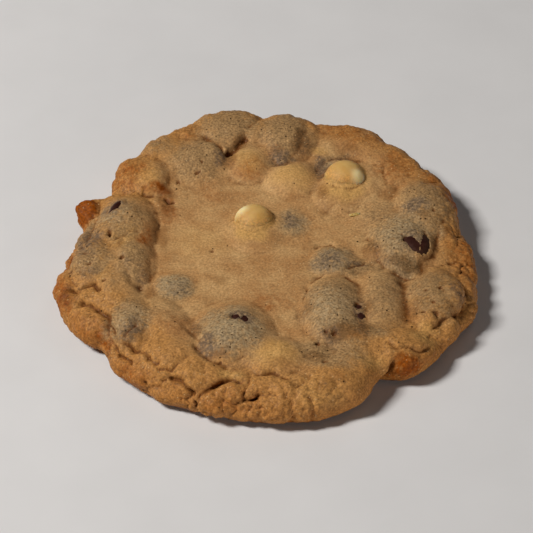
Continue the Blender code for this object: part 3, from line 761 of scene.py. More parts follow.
@dataclass(frozen=True)
class Relief:
    """Everything that baking added to the plain section, measured outwards from it."""

    section: Section
    blend: float = 0.4  # how softly swells run into each other
    crag: Lumps = Lumps(
        pitch=5.6, push=0.375, seed=5, slump=0.045, crack_width=1.3, crack_depth=0.26, crack_steepness=1.5
    )
    crag_lift: float = 0.2  # height of a crag's middle
    crumb: Lumps = Lumps(
        pitch=2.1, push=0.4, seed=8, slump=0.16, crack_width=0.8, crack_depth=0.2, crack_steepness=1.3
    )
    # broad, middling and fine
    grains: tuple[Grain, ...] = (
        Grain(7.1, 3, 0.0, 0.18, 0.14, 0.2, 0.0),
        Grain(2.6, 2, 41.0, 0.03, 0.12, 0.0, 0.12),
        Grain(1.1, 2, 5.0, 0.02, 0.035, 0.05, 0.14),
    )
    calm_middle: tuple[float, float] = (-3.0, 0.0)
    calm_span: Span = (14.0, 30.0)  # how far from there the skin starts to be rougher, and is
    rim_span: Span = (-4.0, 3.0)  # how far past the crown the rim's crags start, and are whole
    # how cragged the rim is, by bearing
    crags: Table = (
        (-180, 0.8), (-150, 0.8), (-120, 0.9), (-92, 1.3), (-78, 0.9), (-68, 0.35), (-52, 0.35), (-30, 0.9),
        (0, 1.0), (30, 0.7), (60, 0.5), (90, 0.5), (120, 0.7), (145, 0.8), (160, 1.3),
    )
    swells: tuple[Oval, ...] = ovals(
        Oval,
        # the long knuckle down the left side, over a chip at its upper end, and the lobes it runs into
        (-32.4, 8, 7.8, 11.8, 3.4, 1.05), (-31.4, -3.6, 6.8, 9.8, 2.8, 1.12),
        (-38.4, -4, 5.6, 8.8, 2.5, 0.83), (-34, -12.4, 5.8, 8.6, 2.5, 1.05, 12),
        (-39.6, 8, 4, 6.4, 0.9, 0.98, -25), (-40.4, -14.4, 3.6, 3, 1, 0.9),
        (-45.2, -11.4, 3.2, 8.4, 0.7, 1.12),
        # the near left flank
        (-30.2, -22.6, 6.2, 9.4, 2.6, 1.12), (-22.6, -24.6, 12.6, 6.6, 1.8, 1.27, -62),
        (-20.8, -33.4, 6.8, 6.6, 2, 1.05), (-26.6, -36.4, 5, 4.8, 1.2, 1.05),
        (-15.2, -38.6, 6.4, 5.6, 1.7, 1.05), (-38.2, -23.2, 6.8, 7.6, 1.3, 1.12),
        # the big covered chip near the front, and the pale ones beside and behind it
        (-7.2, -27.2, 9.6, 11.4, 3.2, 1.09), (1.4, -34.2, 7.4, 6.8, 2.2, 1.27),
        (-20.7, -11.6, 5.4, 5.4, 0.8, 1.35),
        # the near right group
        (14.6, -19.4, 7.8, 11.8, 3.2, 1.01), (25.4, -16.4, 6.6, 12.2, 2.4, 1.42),
        (36.8, -15.8, 7.2, 10.6, 2.7, 1.05), (41, -14.4, 3.2, 5.2, 2.7, 0.83),
        (15, -3.6, 5.8, 6.2, 1.5, 1.12), (20.6, -4.4, 3.8, 2.2, 0.5, 1.05, -35),
        (20.2, -29.4, 7.4, 6.4, 1.6, 1.2), (28.4, -31, 9, 6, 1.7, 1.12),
        (21.6, -36, 8, 5, 1.3, 0.9), (26.6, -33.6, 6, 3.4, 1.3, 0.8, 12),
        (41, -24.2, 4.2, 4.2, 0.8, 1.05),
        # the right shoulder, over a chip that shows
        (30.4, 2, 8.6, 10.4, 3.1, 1.12), (36.4, 13.4, 8.2, 10.4, 2.8, 1.12),
        (26.6, 12, 8.4, 6.6, 1.2, 1.27),
        # dough drawn up round the two white chips, and a chip close under the skin beside one
        (-2.6, 8.2, 8.2, 8.8, 1.2, 1.3), (-3, 6, 6.4, 6.6, 1.4, 1.1),
        (18.4, 22.4, 8.8, 9.2, 1.5, 1.3), (16.6, 19.8, 6.2, 7, 1.9, 1.1),
        (5, 10.6, 3.8, 6.2, 0.5, 1.2),
        # the far side
        (5.8, 25.4, 7.4, 6.8, 2.3, 1.2), (-4.6, 30.8, 6.6, 7, 2.6, 1.12),
        (4.2, 40.4, 8.4, 11, 2.7, 0.98), (3.4, 32.4, 4.4, 4.6, 1.6, 0.98),
        (-8.4, 42.2, 12, 8.8, 2.9, 0.9), (-15.6, 31.2, 9.4, 9.4, 2.2, 1.2),
        (-12.8, 33.4, 4.4, 5.2, 2.4, 0.9), (-19.6, 40.2, 6.4, 5.8, 1.8, 1.12),
        (-25, 34.8, 6.6, 7, 2.1, 1.12), (-27.6, 25.4, 5, 6.6, 2.2, 0.98),
        (-32.6, 27, 5.8, 6.8, 2.1, 1.05), (24, 35, 8, 5.4, 0.7, 1.2, -35),
        # broad lobes of the rim
        (9, -43.4, 6, 4.4, 0.8, 0.98), (17, -41, 9, 6.6, 1.3, 1.12),
        (-11.8, -45.6, 4.4, 5.2, 0.9, 0.98), (-6.2, -44.4, 3.6, 3.2, 0.7, 0.98),
        (1.8, -47.6, 4.8, 3.6, 0.8, 0.98), (1.6, -42.8, 5.4, 3, 0.7, 1.05),
        (7.4, -46.8, 2.8, 4.2, 0.6, 0.98), (-41.8, 15, 3.2, 4.4, 1.5, 0.68),
        (31.6, 25.4, 5.4, 5, 0.5, 1.12),
    )
    creases: tuple[Stroke, ...] = (
        # down the left side
        Stroke(((-27, 14.5), (-24.9, 9.4), (-25.2, 2.5), (-26, -4.7), (-25.9, -11.3)), 1.8, 0.35),
        Stroke(((-35.4, 0.8), (-33.7, 1.9), (-31.4, 3.1), (-28.7, 5.1)), 1.3, 0.6),
        Stroke(((-34, -3.4), (-32.2, -6.1), (-30.9, -9.1), (-29.5, -11.7), (-27.4, -12.9)), 1.5, 0.3),
        Stroke(((-38, 12.4), (-39.4, 5), (-42.6, 1)), 1.3, 0.9),
        Stroke(((-43.6, -11.6), (-41.4, -13.2), (-39.6, -12.4), (-38, -12.4), (-37, -15)), 0.9, 1.2),
        Stroke(((-41.2, -15.8), (-38.2, -17.7), (-36.6, -19.6), (-34.2, -21.2), (-32.8, -23.4)), 0.95, 1.5),
        Stroke(((-33.4, -22.6), (-33.8, -25.6), (-32.6, -28), (-35, -30.4), (-38, -32)), 0.85, 0.9),
        # the near left flank
        Stroke(((-33.2, -22.8), (-31.9, -25.8), (-31, -28.9), (-27.9, -31.4), (-25.9, -31.9)), 0.8, 1),
        Stroke(((-32.8, -26.6), (-31.2, -31.6), (-29.9, -33.4), (-28.5, -35.4)), 0.85, 1.2),
        Stroke(((-26.8, -31.3), (-24.6, -34.6), (-22.3, -37.4), (-19.7, -38.3), (-18.7, -37)), 0.85, 0.9),
        Stroke(((-20.8, -39.3), (-18, -40.6), (-16.2, -42.3), (-15, -44.6)), 0.95, 1.3),
        Stroke(((-15, -44.6), (-15.4, -48), (-16.2, -53)), 0.95, 1.1),
        Stroke(((-18, -25.4), (-16.2, -27.4), (-14.2, -31)), 1.2, 0.35),
        # along the near rim
        Stroke(
            ((-15, -45.2), (-12.5, -43.2), (-9.3, -41.7), (-7.3, -40.9), (-5.5, -41.8), (-4, -42.1)),
            1.05, 1.1,
        ),
        Stroke(((-8.5, -42.6), (-9.1, -45.7), (-9.7, -48.8), (-10, -53)), 1.2, 0.7),
        Stroke(((-6.4, -49.4), (-3.6, -46.6), (-0.9, -44.8), (2, -45), (3.8, -46.2)), 1.2, 0.35),
        Stroke(((-3.6, -47.2), (-4.2, -50.4), (-4.2, -53.4)), 1.1, 0.5),
        Stroke(((4, -44.6), (5, -46.6), (6, -49), (5.6, -53.4)), 1.2, 0.7),
        Stroke(((-1.7, -40.4), (1.8, -40.2), (4.7, -42.2), (6, -43.6), (7.6, -42.6), (9, -41.2)), 1.1, 0.6),
        Stroke(
            ((-15.7, -30.8), (-14.1, -34.1), (-11.6, -36.7), (-9.1, -37.7), (-6.6, -36.7), (-3.7, -34.3)),
            1.6, 0.6,
        ),
        Stroke(((8.6, -44.6), (9.8, -46.8), (10.3, -50.2), (10.8, -53.4)), 1.2, 0.8),
        Stroke(((25, -44), (25.6, -39.6), (27, -36.4), (27, -33.6)), 1.5, 1.6),
        Stroke(((25.2, -30.4), (27.7, -32.2), (30.4, -31.6), (32.8, -31.6), (35.9, -29.4)), 1.4, 0.9),
        # between the swells on the near right
        Stroke(
            ((8.2, -18), (8.6, -14.4), (9.6, -10.8), (12.6, -7.6), (17.8, -8.2), (20.4, -11.4)),
            1.5, 0.45,
        ),
        Stroke(((29.7, -6.7), (30.2, -13.3), (31, -19.9), (30.3, -24.7)), 2.6, 0.3),
        Stroke(((29.9, -8), (30.4, -11.6), (30.4, -15.6)), 2, 0.5),
        Stroke(((36.2, -2.2), (35, -5.6), (34.4, -9.6)), 1.4, 0.7),
        Stroke(
            ((43.8, -16), (43.2, -18.8), (41.5, -20), (38.4, -21.9), (37.2, -23.6), (35.7, -25.6)),
            1.6, 1.3,
        ),
        Stroke(((17.7, -6.3), (20.4, -4.8), (22.6, -3.7)), 1.2, 0.6),
        Stroke(((10.4, 1.3), (14.4, 2.7), (18, -0.8)), 1.2, 0.4),
        # round the right shoulder
        Stroke(((22.8, 5.6), (24, 1.6), (24.8, -1.6), (26.4, -5.2)), 1.8, 0.45),
        Stroke(((24.6, -2.6), (26.6, -5.8), (30, -8.4), (34.4, -10.2)), 2.4, 0.65),
        Stroke(((42.6, 12), (39.6, 7), (38.2, 1.6), (36.4, -3.8), (34.3, -8)), 2.2, 0.5),
        Stroke(((43.8, -2), (41.4, -4.2), (38.6, -5)), 1.4, 0.35),
        Stroke(((36.6, 21.2), (38.1, 22.6), (40.6, 23.6)), 1.2, 0.35),
        Stroke(((27.4, 28.6), (27.6, 25.4), (27.9, 21.8)), 1.1, 0.3),
        # the far side
        Stroke(((11.8, 25.1), (12.3, 29.7), (15.2, 32.2), (20, 31.9), (22.4, 29.2)), 1.9, 0.3),
        Stroke(((1, 32), (2.6, 29.6), (4.9, 29.5), (7.5, 33.5), (8.8, 38.3), (9.8, 44.1)), 2.3, 0.55),
        Stroke(((-8.6, 33.2), (-6.6, 35.7), (-4.6, 37.9)), 1.9, 1.3),
        Stroke(((-6.2, 39), (-3.4, 42), (-0.6, 46), (-0.4, 49)), 2.3, 0.5),
        Stroke(((-9.4, 31), (-10.6, 34.4), (-13.6, 36.4), (-15.4, 38.6)), 1.5, 0.8),
        Stroke(((-29.4, 19.8), (-26.4, 19), (-23.6, 18.4)), 1.9, 0.8),
        Stroke(((-23.8, 17.8), (-22.6, 16.4), (-21.2, 16.8)), 0.9, 1),
    )
    pits: tuple[Oval, ...] = ovals(
        Oval,
        (-8.4, 33, 1.8, 1.1, 2.6, 0.8, 20), (-35.6, 3.5, 0.5, 1.3, 1.5, 0.8),
        (-32.4, -4.8, 0.8, 0.8, 1.2, 0.8), (-41.5, -1.4, 0.6, 0.6, 0.9, 0.8),
        (-40.4, 0.1, 0.5, 0.6, 0.8, 0.8), (-39.6, -6.5, 0.6, 0.6, 0.7, 0.8),
        (-36.1, -11.9, 0.6, 0.5, 0.5, 0.8), (-25.9, -39.6, 0.6, 0.7, 0.7, 0.8),
        (-15.3, 28.9, 0.6, 0.5, 0.5, 0.8), (-16.2, 26, 0.9, 0.5, 0.6, 0.8), (-20.8, 23.6, 0.7, 0.6, 0.5, 0.8),
        (38.3, 10.9, 0.5, 0.6, 0.6, 0.8), (39, 7.6, 0.6, 0.5, 0.5, 0.8), (41.4, -3.9, 0.9, 0.7, 0.8, 0.8),
        (12.6, -36.6, 0.9, 0.6, 0.5, 0.8), (-14.6, -30.4, 0.6, 0.6, 0.5, 0.8), (-10, -37, 0.6, 0.6, 0.9, 0.8),
        (-12.3, 0.4, 0.7, 0.6, 0.5, 0.8), (13, -27.9, 0.6, 0.5, 0.8, 0.9), (14.6, -28.5, 0.6, 0.7, 0.8, 0.9),
        (11.1, -30.6, 0.7, 0.6, 1, 0.9), (36.7, -21.8, 0.7, 0.9, 1.2, 0.8), (34.3, -21.7, 0.5, 0.6, 0.9, 0.8),
        (35.3, -15.8, 0.6, 0.5, 0.7, 0.8), (36.6, -19.3, 0.5, 0.5, 0.8, 0.8),
        (38.4, -14.9, 0.5, 0.6, 0.8, 0.8), (43.2, -13, 0.6, 0.5, 0.8, 0.8), (31.6, -15.6, 0.4, 0.4, 0.5, 0.8),
    )

    def swell_height(self, skin: np.ndarray) -> np.ndarray:
        """Height of the swells: the tallest wins, with a soft valley where two meet.

        Args:
            skin: skin points, n by 2.

        Returns:
            The height at each.
        """
        total = np.ones(len(skin))
        for swell in self.swells:
            total += np.exp(swell.relief(skin) / self.blend) - 1
        return self.blend * np.log(total)

    def crease_depth(self, skin: np.ndarray) -> np.ndarray:
        """Depth of the creases and pits: the deepest wins, and their paths and depths wander a little.

        Args:
            skin: skin points, n by 2.

        Returns:
            The depth at each.
        """
        moved = wander(skin, size=2.2, reach=0.55, seeds=(3.0, 19.0))
        depth = np.max([crease.depth(moved) for crease in self.creases], axis=0)
        depth *= varied(skin, size=2.9, seed=83.0, middle=1.15, swing=0.8, bounds=(0.65, 1.5))
        moved = wander(skin, size=0.9, reach=0.35, seeds=(23.0, 29.0))
        return np.max([depth, *(pit.relief(moved) for pit in self.pits)], axis=0)

    def crag_height(self, skin: np.ndarray, rim: np.ndarray) -> np.ndarray:
        """Rounded crags parted by cracks, with smaller crumbs on them.

        Args:
            skin: skin points, n by 2.
            rim: how rough the rim is at each, and 0 on the top.

        Returns:
            Their height at each point.
        """
        cracked = varied(skin, size=11.0, seed=21.0, middle=0.5, swing=1.6, bounds=(0.1, 1.2))
        crumbly = varied(skin, size=6.5, seed=33.0, middle=0.6, swing=1.5, bounds=(0.1, 1.3))
        near = rim > 0
        slump, crack = self.crag.depths(wander(skin, size=3.3, reach=1.4, seeds=(3.0, 19.0))[near]).T
        crumbs = self.crumb.depths(wander(skin, size=1.3, reach=0.5, seeds=(7.0, 9.0))[near]).sum(axis=1)
        height = np.zeros(len(skin))
        height[near] = self.crag_lift - slump - cracked[near] * crack - crumbly[near] * crumbs
        return height * rim

    def grain_height(self, skin: np.ndarray, rim: np.ndarray) -> np.ndarray:
        """Unevenness of the baked skin: calm in the middle and rougher towards the rim.

        Args:
            skin: skin points, n by 2.
            rim: how rough the rim is at each, and 0 on the top.

        Returns:
            The height at each.
        """
        away = smooth_step(*self.calm_span, np.linalg.norm(skin - self.calm_middle, axis=1))
        crumbly = strongest(CRUMBLES, skin)
        return sum(grain.height(skin, away, rim, crumbly) for grain in self.grains)

    def height(self, skin: np.ndarray) -> np.ndarray:
        """The whole relief.

        Args:
            skin: skin points, n by 2.

        Returns:
            Its height over the plain section at each.
        """
        bearing = np.arctan2(skin[:, 1], skin[:, 0])
        rim = smooth_step(*self.rim_span, self.section.past_crown(skin))
        rim *= self.section.read(self.crags, bearing)
        raised = self.swell_height(skin) - self.crease_depth(skin)
        raised += self.crag_height(skin, rim) + self.grain_height(skin, rim)
        return raised * (1 - smooth_step(0, 1, self.section.lower(skin)))


# ---------------------------------------------------------------- the colours of the dough
class Mask(Enum):
    """What varies over the dough's skin, each kept as an attribute of its mesh."""

    BROWNED = "browned"
    CRUSTED = "crusted"
    # deeper brown, and painted shade in a few valleys
    TOAST_AND_SHADE = "toast_and_shade"
    STAINED = "stained"
    # darkest stain, and painted shade in a few places
    INKY_AND_SHADE = "inky_and_shade"
    # pale dough, and painted light on some lobes
    CREAMY_AND_LIT = "creamy_and_lit"
    # painted shade in the skin's hollows
    HOLLOW_SHADE = "hollow"
    RAISED = "raised"
    # painted shade in creases
    CREASE_SHADE = "crease_shade"
    ASHEN = "ashen"
    # painted shade between the swells and under the heel
    SHADED = "shaded"


PATCHES: dict[Mask, tuple[Patch, ...]] = {
    # grey-brown, where dark chocolate lies under the skin
    Mask.STAINED: ovals(
        Patch,
        (-9, 41, 12, 9, 0.9), (4.6, 39, 8.6, 11, 1), (3.6, 32, 4.6, 4.6, 0.9),
        (-16, 30.6, 9.6, 9.4, 0.9), (-26, 35, 6, 6, 0.6), (-33, 8, 8, 12, 0.75),
        (-30.4, -5, 6.2, 9, 0.8), (-39, -4.4, 6, 9, 0.9), (-40, 6, 4.6, 9, 0.8),
        (-29.6, -23, 7, 8.6, 1), (-34, -12.4, 5, 6, 0.4), (-21.6, -23, 5.6, 9.6, 0.15, 1, 30),
        (-20.6, -12, 6.4, 6.4, 0.9), (-7.6, -28, 10.6, 12, 1.1), (15.4, -20.6, 10.4, 14.6, 1.1),
        (26, -17, 7.6, 13.6, 0.7), (36.6, -15.4, 8, 10.6, 0.8), (15.4, -2.8, 7.6, 7, 1),
        (21.4, -5.6, 7, 4.4, 0.8), (31, 3.6, 10.6, 12, 1.1), (36.6, 13.4, 9, 10.6, 1),
        (26, 11, 8.4, 8.4, 0.6), (30, -5.4, 8, 5, 1.2, 1.3, -18), (13.6, 28.4, 3.4, 5, 0.8),
        (16.6, 31.8, 5.6, 2.6, 0.8), (6, 9.8, 5.4, 7.4, 0.8), (14, -33.4, 10, 7, 1),
        (22.6, -27.4, 6, 4.6, 0.8), (38, 5.6, 4, 7, 0.8),
    ),
    # darkest, where it nearly shows through; a few patches, beside the near chip and under the far middle
    # lobe, are painted shade
    Mask.INKY_AND_SHADE: ovals(
        Patch,
        (-10.8, 30.6, 2.6, 4.4, 0.9), (-18.6, 34.6, 6, 2.4, 0.4), (5.6, 10.6, 3, 4.4, 0.9),
        (14.6, -3.8, 5.4, 4, 1), (20.4, -4.6, 3.6, 1.8, 0.8), (34, 12.6, 3.8, 4, 1.2),
        (33.6, 1, 5.4, 6.2, 0.8), (-19.4, -12.8, 3.4, 3.6, 0.65), (-5.8, -24.6, 4.6, 2.8, 1.4),
        (-9, -32, 8, 6, 0.4), (-13, -32.6, 3.4, 5, 1.1), (-15.6, -26.4, 2.4, 4.6, 0.6),
        (20.2, -21.6, 2.6, 5.6, 1), (13.6, -29, 4, 3.6, 0.8), (42.2, -15.6, 2, 4.4, 1),
        (12.8, 29.4, 2.2, 6.4, 1.2), (24.6, -0.6, 1.8, 4.4, 0.5), (17, 32, 4.4, 1.6, 0.8),
        (-28.8, -26.4, 3.4, 4, 0.9), (-31.2, -6.4, 2, 2, 0.6), (-28.4, -12.4, 2, 2.2, 0.7),
        (-28, -9.6, 2.4, 4, 0.7), (-34.8, 12, 4, 4.6, 0.9), (-39.6, 2, 3.6, 9, 1),
        (-39.4, -9.2, 3.4, 4, 0.7), (2.6, 32.6, 3.6, 2.4, 0.7), (3.6, 31.4, 4.6, 2.8, 1),
        (8.4, 35, 2.4, 5, 0.5), (40.6, -7.6, 2.4, 2, 0.6), (20.6, -27, 2.4, 5, 0.6),
    ),
    # pale and smooth, over white chocolate and on swells of plain dough, with painted light on the left
    # knuckle and on lobes of the near rim
    Mask.CREAMY_AND_LIT: ovals(
        Patch,
        (-4.4, 30, 6.4, 6.6, 0.7), (6, 25, 7.6, 6.6, 0.9), (-2.6, 9.4, 7.4, 8, 0.9),
        (-3, 6.2, 6, 5.2, 1.5), (-15, 4, 12, 9, 0.4), (18.6, 23.4, 8, 8.2, 0.9),
        (17.8, 20.2, 6.4, 5.4, 1.5), (1.4, -34.4, 8, 6.4, 0.9), (12.3, 34.4, 4, 1.8, 0.8),
        (11.6, -44.6, 8, 5.4, 0.5), (-27.4, 24.4, 3.6, 4.4, 0.6), (-32, 2, 5, 7, 0.7),
        (-36.4, -9, 4.6, 6, 0.5), (21.6, -34.6, 5.4, 3.4, 0.7), (34, -27, 6, 3.8, 0.7, 1.3, 30),
        (-7.4, -39.8, 4, 2.2, 0.8),
    ),
    # deeper brown, where the oven caught it; a few patches in valleys, beside the left knuckle and on the
    # near left flank are painted shade
    Mask.TOAST_AND_SHADE: ovals(
        Patch,
        (0.9, -16.2, 9, 7, 0.55), (4, -6.6, 8, 6, 0.35), (2.4, 33.4, 3.8, 2.6, 1),
        (-4, 27.8, 5.8, 5, 0.85), (1.4, -34.4, 7.4, 5.6, 0.6), (38.9, 23.2, 4.4, 5.4, 0.6),
        (30.4, 27.4, 10, 10, 0.6), (-20, -25, 6.4, 10, 0.5, 1.5, 30), (-12, 19, 9, 5, 0.4),
        (-22.6, 14, 3.6, 10, 0.6), (-32, 25.4, 7.6, 6.6, 0.7), (-25.4, 20.6, 4.6, 2.4, 1.05),
        (-27.4, 3, 2.6, 5.4, 0.8), (-18.4, 39.6, 6, 4.6, 0.5), (-41.8, 15.2, 3.9, 4.6, 2.8),
        (-34.4, -26, 3.6, 6.4, 1), (-46, -12, 4.6, 9, 0.9), (-40, -24, 8, 8.6, 0.5),
        (30.6, -35.4, 5.6, 4.4, 1.45, 1.4), (36.4, -31.6, 9, 3, 0.45, 1.4, 40), (-30, -38, 9, 7, 0.6),
        (-9, -45, 14, 4, 0.45), (-5.6, -47.2, 6.4, 3, 0.5), (-44.2, -14.4, 3.4, 4.2, 0.9),
        (-44.6, -2, 3, 5, 1), (45.6, -2, 7, 16, 0.65), (44, 20, 5, 9, 1),
        (20, 40, 16, 7, 0.55, 1.3, -25),
    ),
    # a grey bloom on the stained swells
    Mask.ASHEN: ovals(
        Patch,
        (-7.6, -27.6, 10, 11, 1), (31, 3.6, 9, 10, 0.8), (-20.6, -12, 6, 6, 0.9),
        (15, -3.4, 7, 6, 0.9), (13.4, -20.6, 8, 10.6, 0.7), (13.4, 29, 3.4, 5, 0.9),
        (6, 9.8, 4.6, 6.4, 0.7), (-29.4, -24, 5, 6, 0.6), (34, 12.6, 5, 4.6, 0.6),
        (-35, 10.4, 5.4, 5.4, 0.7), (30, -5.4, 7, 4, 0.7, 1.3, -18),
    ),
    # painted shade, deep between the swells
    Mask.SHADED: ovals(
        Patch,
        (-23.4, 17, 3, 9.4, 1.1), (-24, 5, 2.6, 7, 1), (-6.4, 35.9, 2.4, 4.6, 1.1, 1.3, -40),
        (-8.8, 30.4, 2.6, 4, 1.2), (-22.4, 25.4, 2.6, 4.8, 1), (30, -5.4, 6.8, 2.8, 1.2, 1.3, -18),
        (8.4, 36.4, 2.8, 7, 1), (20, 34.4, 6.4, 3, 1, 1.3, -28), (13, 19.6, 2.4, 3.6, 0.9),
        (29, 19.4, 3, 4.4, 0.8), (23.8, 0.4, 2.4, 5, 1), (34.6, -6.6, 2.6, 4.4, 1.1, 1.3, -10),
        (30.8, -12.4, 2, 4.4, 0.8), (22.4, -19.8, 1.7, 5, 0.8), (32.8, -20.6, 2, 4.6, 0.8),
        (16.4, -28.8, 7, 3.4, 1.1), (-28.6, -27.8, 3.6, 2.2, 0.5, 1.3, -42), (13.6, 14.8, 3.4, 3, 0.7),
        (2.3, 33.6, 3.4, 2.4, 0.6), (-9.6, -23.8, 4.8, 3.4, 0.35), (13.4, 29.6, 1.8, 4.6, 0.5),
        (12, -31.6, 4, 2.4, 0.4), (12.6, 25.6, 1.6, 3.4, 0.8), (-33.4, 0.2, 1.6, 2.4, 0.8),
        (-25.8, -13.4, 2, 4.4, 0.9), (-11.6, -9.4, 4.6, 1.8, 0.6, 1.3, -34), (-44.6, -0.6, 2.4, 4, 0.9),
        (38.6, 0.4, 1.6, 4.4, 0.6), (35.9, 9.3, 2.4, 2.6, 0.7), (40.9, 5.6, 2.6, 3.2, 0.8),
        (31, -21, 2.4, 4, 0.8), (20.9, -26.8, 2.6, 5.4, 0.9), (8.3, -20, 2, 4, 0.7),
        (2.6, -22.4, 2.4, 3.4, 0.6), (-15.9, -27.2, 2.4, 3.6, 0.9), (-10.4, -35.2, 3.6, 2, 0.9),
        (-43, -13.4, 3, 4.4, 1.1), (-18.6, -41, 3, 2.6, 0.8), (12.4, -43, 3, 2.6, 0.7),
        (-10.7, -8.9, 4, 1.8, 0.6), (14.9, -41.3, 3.4, 2.4, 0.7), (10.6, -34.8, 5, 2.6, 0.8),
        (3, -37.6, 5, 1.8, 0.6),
    ),
}


@dataclass
class Dough:
    """The baked dough: its mesh, what varies over it, and the hollows where the chips show."""

    section: Section = field(default_factory=Section)
    # rings of the grid on the top, round the shoulder, round the heel and along the hem
    top_rings: int = 108
    shoulder_rings: int = 32
    heel_rings: int = 7
    hem_rings: int = 5
    drops: tuple[Drop, ...] = tuple(DROPS.values())
    # how far past the crown the skin starts to brown and to crust, and is browned and crusted
    browned_span: Span = (-11.0, 3.0)
    crusted_span: Span = (2.0, 10.0)
    flank_span: Span = (0.0, 8.0)  # the same for the flank's slope
    creased_span: Span = (0.45, 1.4)  # depth of a crease where its painted shade starts, and where it is full
    creased_most: float = 1.1
    hollow_most: float = 1.5
    under_span: Span = (0.1, 0.8)  # how far round the heel the underside's browning and painted shade start, and are whole
    under_toasted: float = 0.5
    thin_span: Span = (1.6, 0.3)  # thickness of dough that white chocolate starts to show through, and does
    thin_creamy: float = 1.3

    def ring_reach(self, ring: np.ndarray, bearing: np.ndarray) -> np.ndarray:
        """How far from the skin's middle the vertices of a ring lie.

        Args:
            ring: each vertex's ring, counted out from 0.
            bearing: each vertex's bearing, in radians.

        Returns:
            The reach of each vertex.
        """
        waist = self.section.read(self.section.spread, bearing)
        shoulder = self.section.read(self.section.shoulder, bearing)
        rounded = quarter_length(shoulder, self.section.crown - self.section.waist)
        crown = np.minimum(ring, self.top_rings) / self.top_rings
        over = np.clip((ring - self.top_rings) / self.shoulder_rings, 0, 1)
        under = np.clip((ring - self.top_rings - self.shoulder_rings) / self.heel_rings, 0, 1)
        past_heel = ring - self.top_rings - self.shoulder_rings - self.heel_rings
        inner = np.maximum(past_heel, 0) / self.hem_rings
        hem = (1 - self.section.foot_share) * waist - self.section.heel
        return (waist - shoulder) * crown + rounded * over + self.section.heel_length() * under + hem * inner

    def flat_skin(self, sheet: bmesh.types.BMesh) -> np.ndarray:
        """Where each vertex of the grid lies on the flat skin: its square rings become round ones.

        Args:
            sheet: a grid whose vertices are one apart.

        Returns:
            Skin points, n by 2.
        """
        grid = np.array([vert.co[:2] for vert in sheet.verts])
        x, y = grid[:, 0], grid[:, 1]
        ring = np.round(np.abs(grid).max(axis=1))
        wide = np.abs(x) > np.abs(y)
        ratio = np.where(wide, y / np.where(wide, x, 1), x / np.where(wide | (y == 0), 1, y))
        bearing = np.where(
            wide,
            math.pi / 4 * ratio + np.where(x < 0, math.pi, 0),
            math.pi / 2 - math.pi / 4 * ratio + np.where(y < 0, math.pi, 0),
        )
        bearing = np.arctan2(np.sin(bearing), np.cos(bearing))
        reach = self.ring_reach(ring, bearing)
        return np.stack([reach * np.cos(bearing), reach * np.sin(bearing)], axis=1)

    def open_over_chips(self, skin: np.ndarray, points: np.ndarray) -> np.ndarray:
        """Draws the dough up over each chip, and down past its surface where it shows.

        Args:
            skin: skin points, n by 2.
            points: their places, in the measured plan.

        Returns:
            The new places.
        """
        ragged = 0.35 * noise_at(skin, size=1.5, seed=51.0)
        ragged += 0.45 * noise_at(skin, size=0.75, seed=57.0)
        points = points.copy()
        for drop in self.drops:
            surface = drop.surface(points)
            near = (surface > 0) & (self.section.lower(skin) == 0)
            points[near, 2] = drop.cover(skin[near], points[near, 2], surface[near], ragged[near])
        return points

    def lowness(self, skin: np.ndarray, points: np.ndarray, reaches: tuple[int, ...]) -> np.ndarray:
        """How deep each point lies below its surroundings.

        Args:
            skin: skin points, n by 2.
            points: their places, in a square grid's order.
            reaches: how wide the surroundings are, in cells of the grid.

        Returns:
            About 1 in a hollow, 0 on an even slope and -1 on a crest.
        """
        full_depth = 0.22  # in millimetres, for each cell of the reach
        lost_height, gained_reach = 0.5, 0.7  # on the flank height counts less, and reach counts too
        side = math.isqrt(len(skin))
        flank = smooth_step(*self.flank_span, self.section.past_crown(skin)).reshape(side, side)
        height = points[:, 2].reshape(side, side)
        radius = np.hypot(points[:, 0], points[:, 1]).reshape(side, side)
        total = np.zeros((side, side))
        for reach in reaches:
            steps = range(-reach, reach + 1)
            below = self.blurred(height, steps) - height
            within = self.blurred(radius, steps) - radius
            sunk = below * (1 - lost_height * flank) + within * gained_reach * flank
            total += sunk / (full_depth * reach)
        return total.ravel() / len(reaches)

    def blurred(self, values: np.ndarray, steps: range) -> np.ndarray:
        """Evens out a square grid of values.

        Args:
            values: the grid.
            steps: the cells around each that it becomes the mean of, both ways and twice over.

        Returns:
            The new grid.
        """
        for axis in (0, 1, 0, 1):
            values = sum(np.roll(values, step, axis) for step in steps) / len(steps)
        return values

    def masks(self, relief: Relief, skin: np.ndarray, points: np.ndarray) -> dict[Mask, np.ndarray]:
        """What varies over the skin.

        Args:
            relief: the skin's relief, whose creases get painted shade.
            skin: skin points, n by 2.
            points: their places, in a square grid's order.

        Returns:
            The value of each mask at each point, from 0 to about 1.
        """
        past = self.section.past_crown(skin)
        moved = wander(skin, size=4.0, reach=1.5, seeds=(71.0, 73.0))
        found = {mask: strongest(patches, moved) for mask, patches in PATCHES.items()}
        stray = 3.0 * noise_at(skin, size=8.0, seed=61.0)
        found[Mask.BROWNED] = smooth_step(*self.browned_span, past + stray)
        stray = 2.0 * noise_at(skin, size=5.0, seed=67.0)
        found[Mask.CRUSTED] = smooth_step(*self.crusted_span, past + stray)
        # painted shade: the lower a point lies below its surroundings, the darker it is
        found[Mask.HOLLOW_SHADE] = np.clip(self.lowness(skin, points, (3, 7)), 0, self.hollow_most)
        found[Mask.RAISED] = np.clip(-self.lowness(skin, points, (2, 5)), 0, self.hollow_most)
